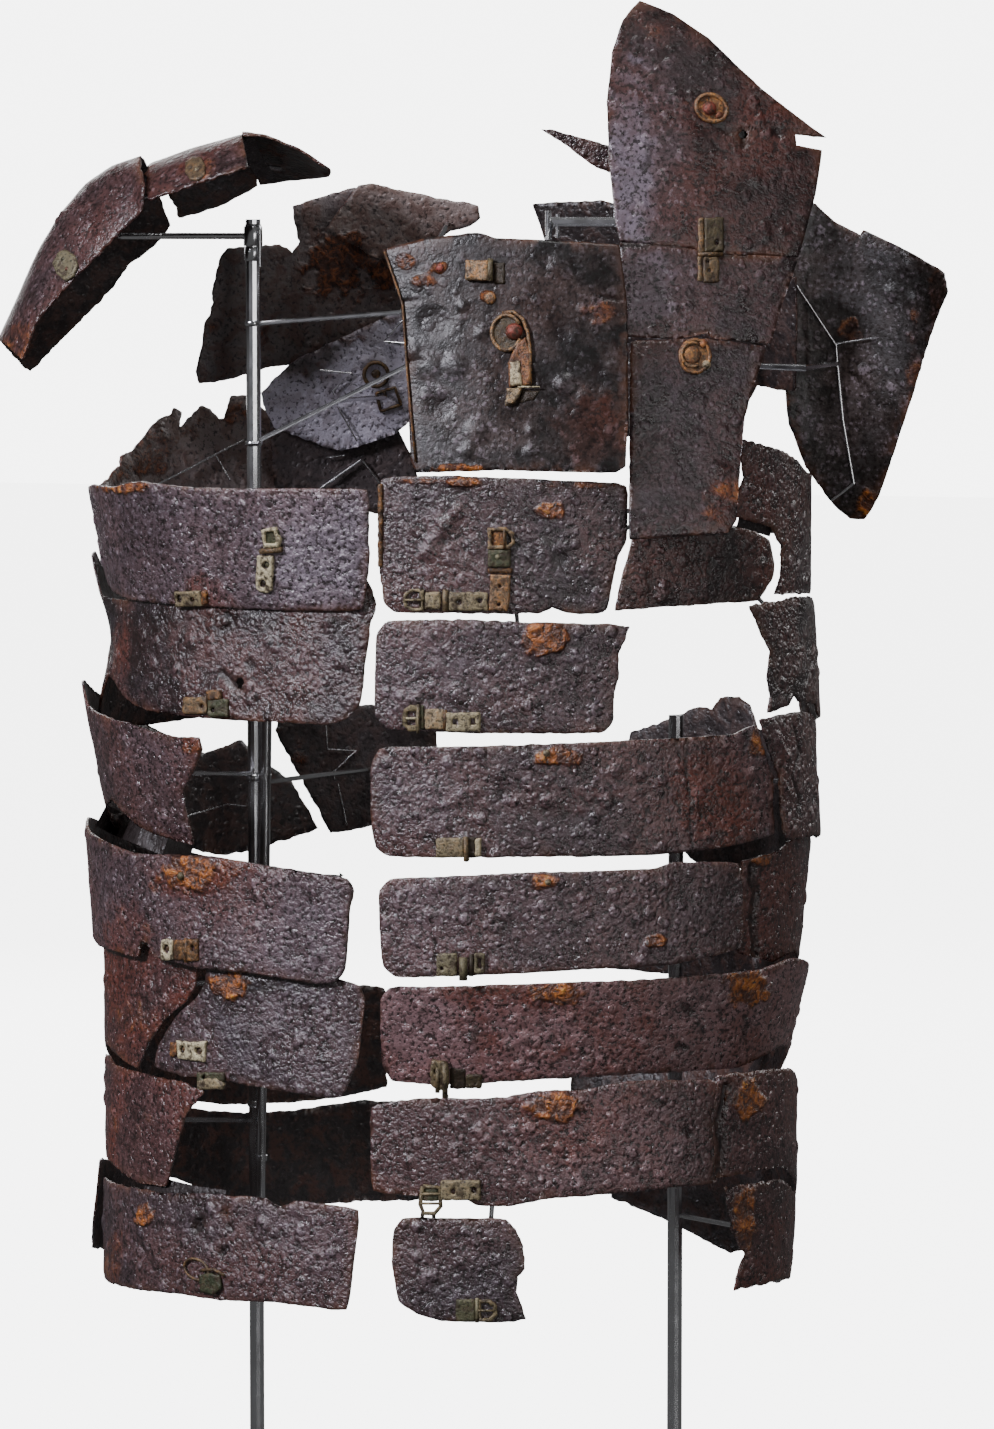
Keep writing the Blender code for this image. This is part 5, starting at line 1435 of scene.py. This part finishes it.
# Round bars. Columns: shade, radius mm, path of (column, row, height mm), whether it closes on itself
BARS = {
    "r1_buckle": [((0.15, 0.2, 0.35, 0.2), 1.5, [(261.5, 551, 1.2), (283, 549, 1.2)])],
    "r4_hinge": [(BROWN, 1.2, [(187.5, 938, 0.8), (187.5, 962, 0.8)])],
    "l1_buckle": [
        (DARK, 0.9, [(421, 588, 1), (421, 611, 1)]), (STRAW, 0.6, [(404, 599.7, 2), (424, 599.7, 2)]),
        ((0.25, 0.2, 0.2, 0.3), 1.6, [(445.5, 589.5, 0.8), (445.5, 611, 0.8)]),
        ((0, 0.1, 0.4, 0.5), 0.7, [(504.8, 529, 2.6), (504.8, 549, 2.6)]),
    ],
    "l2_buckle": [
        (CREAM, 0.6, [(407, 718, 2), (418, 718, 2)]), (STRAW, 0.8, [(418.6, 704, 1.8), (418.6, 733, 1.8)]),
        (BROWN, 1, [(445.2, 710, 0.9), (445.2, 730, 0.9)]),
    ],
    "l3_hinge": [((0.25, 0.2, 0.3, 0.15), 1.3, [(466, 836.5, 1.2), (466.5, 861, 1.2)])],
    "l4_hinge": [
        ((0.3, 0.65, 0.05, 0.1), 2.2, [(463.5, 957, 1.2), (463.5, 980, 1.2)]),
        (DARK, 1.2, [(471.5, 954, 0.7), (471.5, 976, 0.7)]),
    ],
    "l5_hinge": [
        ((0.25, 0.4, 0.1, 0.15), 1.6, [(445.5, 1062, 1.6), (445.5, 1099, 1.6)]),
        (OLIVE, 1.3, [(438.5, 1066, 1.8), (438, 1091, 1.8)]),
    ],
    "l6_buckle": [
        (OLIVE, 1.15,
         at_height([(423, 1186), (440, 1187), (441, 1206), (435, 1213), (424, 1213), (420.5, 1204),
                    (423, 1186)], 1)), (STRAW, 0.8, [(421, 1193.5, 1.6), (440, 1193.5, 1.6)]),
        (OLIVE, 0.7, [(421, 1203, 1.6), (440, 1203, 1.6)]), (DARK, 1, [(423, 1212, 1), (422.5, 1217.5, 1)]),
        (DARK, 1, [(434, 1212, 1), (434, 1217.5, 1)]),
    ],
    "l7_hinge": [
        ((0.35, 0.45), 1, [(477.3, 1297.5, 1.2), (477.3, 1322, 1.2)]),
        (OLIVE, 0.6, [(478, 1310, 1.8), (494, 1310, 1.8)]),
    ],
    "shoulder_hinge": [((0.1, 0.1, 0.45, 0.4), 1.2, [(697.5, 254.5, 1), (722, 254.5, 1)])],
    "breast_hinge": [((0.2, 0.45, 0.1, 0.15), 1.5, [(491.5, 259.5, 2.4), (491.5, 281.5, 2.4)])],
    "breast_hook": [
        ((0.3, 0.1, 0.6, 0.05), 1, arch(507, 333, 14.6, 17.6, 20, 330, 1.5, 20)),
        ((0.2, 0, 0.6, 0.05), 0.95,
         [(503, 313, 1), (514, 312, 1), (523, 319, 1.2), (528, 331, 1.4), (531, 350, 1.6),
          (531, 384, 1.6)]), (CREAM, 0.5, [(519, 387.5, 2.8), (541, 387.5, 2.2)]),
    ],
    "shoulder_rosette": [((0.3, 0, 0.85), 1.15, at_height(ellipse(711, 108.5, 16, 13, 25), 1.2), True)],
    "shoulder_disc": [
        ((0.25, 0, 0.9), 1, at_height(ellipse(694.5, 356.5, 15, 16.5), 1), True),
        ((0.45, 0, 0.8), 0.8, arch(692, 355, 11, 12, 60, 300, 1.4, 14)),
    ],
    "back_buckle": [
        (OLD_IRON, 1.1, at_height(ellipse(376, 374, 12, 12), 1), True),
        (OLD_IRON, 0.9, at_height(dense([(376, 393), (395, 387), (401, 404), (381, 411)], 3), 1), True),
    ],
    "r7_fitting": [
        ((0.1, 0.2, 0.35, 0.3), 0.75, at_height(ellipse(198, 1269, 13, 9.5, 35), 1.3), True),
        ((0.05, 0.25, 0.4, 0.35), 0.9, [(203, 1270, 1.4), (216, 1269, 1.6), (226, 1275, 1.4)]),
    ],
    "breast_edging": [
        ((0.05, 0, 0.7, 0.3), 0.6,
         at_height([(385, 252), (392, 272), (399, 292), (403, 305), (405, 335), (407.5, 372), (411, 410),
                    (416, 462)], 0.6)),
    ],
}

# Rivet heads and knobs. Columns: shade, column, row, radius mm, height mm, lift mm
STUDS = {
    "r1_buckle": [(MOSS, 267.5, 564.5, 1.5, 0.5, 0.2), (DARK, 264, 583, 1.4, 0.5, 0.2)],
    "r1_hinge": [(DARK, 180.5, 598, 1.1, 0.4, 0.2), (RUSTY, 194, 599, 0.8, 1.3, 0.2)],
    "r4_hinge": [((0.1, 0.1, 0.5, 0.4), 168, 948.5, 1.3, 0.7, 0.2)],
    "r5_hinge": [
        ((0.1, 0.1, 0.5, 0.4), 184, 1049, 1.1, 0.7, 0.2),
        ((0.1, 0.1, 0.4, 0.5), 200.5, 1051, 1.4, 0.8, 0.2),
    ],
    "l1_buckle": [((0.6, 0.6), 498, 556.5, 1.3, 1, 2)],
    "l5_hinge": [((0.8, 0, 0.4), 434.5, 1061.5, 1.6, 2, 1), (OLIVE, 446, 1096, 1.5, 1.6, 0.8)],
    "l3_hinge": [(OLIVE, 466.5, 859, 1.6, 1.4, 0.2)],
    "breast_hook": [(RED, 514.5, 332, 4.6, 4.2, 0.6), ((0.15, 0, 0.75), 490, 298, 3.4, 1.8, 0)],
    "shoulder_rosette": [
        (RED, 709, 109, 3.8, 3, 0.8), ((0, 0, 0.6, 0.3, 0.5), 718.5, 115.5, 2.2, 1.8, 0.8),
    ],
    "shoulder_disc": [
        ((0.2, 0.05, 0.85, 0.1), 691.5, 355, 5, 1.3, 0.6), ((0.95, 0, 0.25), 706, 365, 2.4, 2.2, 0.6),
        ((0.1, 0, 0.9, 0, 0.3), 703, 344, 2.4, 1.6, 0.6),
    ],
    "strap_boss": [
        ((0, 0.9, 0, 0.35), 65, 259.5, 1.4, 1, 1.2), ((0, 0, 0.5, 0.5, 0.3), 68.5, 269.5, 1.2, 0.8, 1.2),
        ((0, 0.8, 0, 0.5), 60, 272, 1, 0.7, 1.2), ((0, 0.8, 0, 0.5), 73, 262, 0.9, 0.7, 1.2),
    ],
    "strap_plate": [((0.55, 0.35, 0.1), 198, 171, 1.6, 1, 1)],
    "breast_edging": [(RED, 440, 268, 2.4, 1.5, 0)],
    "back_buckle": [(OLD_IRON, 376, 374, 2.6, 1.4, 0.2)],
    "l3_knob": [((0.55, 0.4, 0.15), 546.5, 753, 2, 2.2, 0.2)],
    "l4_knob": [((0.55, 0.45, 0.15), 548, 882, 1.7, 1.7, 0.2)],
    "r4_knob": [((0.15, 0.8, 0.1, 0.15), 182, 876, 2.4, 2.4, 0.3)],
}

for fitting_name, place in FITTINGS.items():
    fitting = Fitting(*place)
    for slab in SLABS.get(fitting_name, ()):
        fitting.slab(*slab)
    for bar in BARS.get(fitting_name, ()):
        fitting.bar(*bar)
    for stud in STUDS.get(fitting_name, ()):
        fitting.stud(*stud)
    fitting.finish(fitting_name)


def off_line(along):
    """A direction well off a rod's line."""
    return BACK if abs(along.dot(BACK)) < 0.9 else UP


def rods_object(name, rods, material):
    """One object of several rods. Each is its spots and its radius in mm, or one for each spot."""
    points = []
    faces = []
    for spots, radii in rods:
        if not isinstance(radii, list):
            radii = [radii] * len(spots)
        rod_points, rod_faces = tube(spots, radii, off_line, ROD_SIDES)
        faces += [tuple(len(points) + i for i in face) for face in rod_faces]
        points += rod_points
    ob = mesh_object(name, points, faces, material)
    turn_outward(ob, SHARP)
    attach(ob, "root")


def on_plane(column, row, away):
    """Where the ray through a pixel meets the upright plane y = away mm."""
    aim = ray_through(column, row)
    return EYE + aim * ((away * MM - EYE.y) / aim.y)


def on_plates(names, column, row):
    """The nearest point of some plates along the ray through a pixel, lifted a little towards the camera."""
    aim = ray_through(column, row)
    hits = [solid(name).tree.ray_cast(EYE, aim)[3] for name in names]
    hits = [hit for hit in hits if hit is not None]
    return [EYE + aim * (min(hits) - WIRE_LIFT * MM)] if hits else []


ROD_SIDES = 12
SHARP = 0.7
WIRE_LIFT = 1.7
# The right post's axis in mm, its column in pixels, and the clamps on it. Columns: first and last row, radii
# in mm there
POST_ACROSS = -118.0
POST_AWAY = 20.0
POST_COLUMN = 252.5
SLEEVE_BEVEL = 0.4
SLEEVE_EDGE = 0.5
SLEEVES = [
    (220.5, 226.0, 2.9, 4.5), (226.0, 246.0, 5.0, 5.2), (246.5, 261.0, 4.6, 4.6), (320.5, 326.0, 4.8, 4.8),
    (441.0, 446.0, 4.8, 4.8), (774.0, 781.0, 4.9, 4.9), (1100.0, 1106.0, 4.8, 4.8),
]

# Straight rods in an upright plane. Columns: plane y mm, radius mm, first and last pixel
PLANE_RODS = [
    (13.0, 2.7, (268.0, 640.0), (260.0, 1228.0)), (13.0, 3.5, (265.2, 774.0), (265.0, 779.0)),
    (13.0, 3.6, (261.2, 1155.0), (261.1, 1160.0)), (16.0, 0.9, (259.8, 230.0), (259.8, 267.0)),
    (13.5, 1.1, (253.0, 443.5), (259.0, 443.5)), (30.0, 1.8, (548.6, 211.0), (548.6, 240.0)),
    (30.0, 1.1, (558.0, 214.0), (558.0, 238.0)), (26.0, 0.9, (558.0, 223.0), (618.0, 222.0)),
    (25.0, 2.1, (570.5, 222.5), (576.5, 222.5)),
]

# Bright tubes over arms. Columns: radius mm, two ends in mm
SHEATHS = [(1.75, (-122.5, 19.25, 761.0), (-189.0, 8.2, 761.0))]

# Thin steel ties. Columns: radius mm, plates that they lie on, path in pixels
TIES = [
    (0.55, ("back_right_upper", "blade_right"), [(404, 319), (384, 341), (404, 343)]),
    (0.5, ("back_right_upper", "blade_right"), [(320, 370), (351, 373), (333, 391), (334, 397)]),
    (0.5, ("back_right_upper",), [(337, 406), (357, 441)]),
    (0.65, ("back_right_lower", "r1_back"), [(318, 490), (361, 460)]),
    (0.55, ("back_right_lower", "r1_back"), [(363, 461), (379, 483)]),
    (0.4, ("back_right_lower", "back_right_upper"), [(326, 457.5), (345, 455)]),
    (0.6, ("r1_back",), [(152, 487), (190, 468), (214, 455), (244, 440)]),
    (0.4, ("r1_back",), [(216, 456), (230, 480)]),
    (0.45, ("l3_back", "r3_back"), [(326, 724), (327.5, 749), (356, 750.5), (333, 772), (335, 779)]),
    (0.45, ("l3_back", "r3_back"), [(338, 783), (347, 825)]),
    (0.4, ("r3_back", "r3_side"), [(188, 816), (228, 804), (246, 806)]),
    (0.5, ("shoulder_left_outer",), [(794, 281), (836, 345)]),
    (0.5, ("shoulder_left_outer",), [(836, 344), (872, 338)]),
    (0.5, ("shoulder_left_outer",), [(836, 344), (838, 370)]),
    (0.7, ("shoulder_left_outer",), [(838, 368), (843, 420), (854, 484)]),
    (0.7, ("shoulder_left_outer",), [(854, 483), (842, 493), (832, 500)]),
]


def make_stand_details():
    """Clamps, the second rod and the thin ties that hold the fragments."""
    rods = []
    for top, foot, radius_top, radius_foot in SLEEVES:
        high = on_plane(POST_COLUMN, top, POST_AWAY).z
        low = on_plane(POST_COLUMN, foot, POST_AWAY).z
        levels = (high, high - SLEEVE_EDGE * MM, low + SLEEVE_EDGE * MM, low)
        spots = [Vector((POST_ACROSS * MM, POST_AWAY * MM, level)) for level in levels]
        rods.append((spots, [radius_top - SLEEVE_BEVEL, radius_top, radius_foot, radius_foot - SLEEVE_BEVEL]))
    bright = [([Vector(spot) * MM for spot in ends], radius) for radius, *ends in SHEATHS]
    for away, radius, *ends in PLANE_RODS:
        kept = bright if away > POST_AWAY else rods
        kept.append(([on_plane(*end, away) for end in ends], radius))
    rods_object("stand_clamps", rods, ROD_STEEL)
    rods_object("arm_sheaths", bright, WIRE_STEEL)
    ties = []
    for radius, names, path in TIES:
        spots = [spot for pixel in path for spot in on_plates(names, *pixel)]
        ties.append((spots, radius))
    rods_object("thin_ties", ties, WIRE_STEEL)


make_stand_details()


# The floor and the white surround: half width and drop in metres, and how bright each is
FLOOR_HALF = 12.0
FLOOR_DROP = 0.0005
FLOOR_GLOW = 5.2
SURROUND_LIGHT = 0.10
SURROUND_SEEN = 6.0
WHITE = (1.0, 1.0, 1.0)
# Square soft lights. Columns: name, place and target in metres, side in metres, power W, tint
LIGHTS = [
    ("key", (-1.7, -2.2, 2.0), (0.0, 0.0, 0.42), 0.45, 98.0, (0.96, 0.96, 1.06)),
    ("fill", (2.1, -2.4, 0.8), (0.0, 0.0, 0.42), 1.2, 17.0, WHITE),
    ("top", (0.2, -0.9, 2.8), (0.0, 0.0, 0.5), 0.9, 26.0, WHITE),
    ("rim_light", (1.5, 2.2, 1.8), (0.0, 0.0, 0.5), 1.0, 24.0, WHITE),
    ("back_fill", (-1.3, 2.5, 1.2), (0.0, 0.0, 0.5), 1.4, 24.0, WHITE),
]


def make_floor():
    """A plain pale floor."""
    corners = [(x, y, 0.0) for x, y in ((-1, -1), (1, -1), (1, 1), (-1, 1))]
    g = Graph("floor")
    g.put((0.92, 0.92, 0.92), g.shader.inputs["Base Color"])
    g.put(0.8, g.shader.inputs["Roughness"])
    g.put(WHITE, g.shader.inputs["Emission Color"])
    g.put(FLOOR_GLOW, g.shader.inputs["Emission Strength"])
    floor = mesh_object("floor", np.array(corners) * FLOOR_HALF, [(0, 1, 2, 3)], g.material, False)
    floor.location.z = -FLOOR_DROP
    floor.visible_diffuse = False
    floor.visible_glossy = False


def make_light(name, spot, target, size, power, tint):
    """A square soft light looking at a target."""
    data = bpy.data.lights.new(name, "AREA")
    data.size = size
    data.energy = power
    data.color = tint
    lamp = bpy.data.objects.new(name, data)
    lamp.location = spot
    lamp.rotation_mode = "QUATERNION"
    lamp.rotation_quaternion = (Vector(target) - Vector(spot)).to_track_quat("-Z", "Y")
    bpy.context.scene.collection.objects.link(lamp)


def make_world():
    """White all round: bright where the camera sees it, softer as light."""
    world = bpy.data.worlds.new("studio")
    bpy.context.scene.world = world
    world.use_nodes = True
    tree = world.node_tree
    back = tree.nodes["Background"]
    path = tree.nodes.new("ShaderNodeLightPath")
    level = tree.nodes.new("ShaderNodeMapRange")
    level.inputs["To Min"].default_value = SURROUND_LIGHT
    level.inputs["To Max"].default_value = SURROUND_SEEN
    tree.links.new(path.outputs["Is Camera Ray"], level.inputs["Value"])
    tree.links.new(level.outputs["Result"], back.inputs["Strength"])
    back.inputs["Color"].default_value = (*WHITE, 1.0)


for node in NODES.values():
    node.data.materials.clear()
NODES["stand_frame"].data.materials.append(ROD_STEEL)
NODES["stand_base"].data.materials.append(BASE_STEEL)

make_floor()
make_world()
for light in LIGHTS:
    make_light(*light)
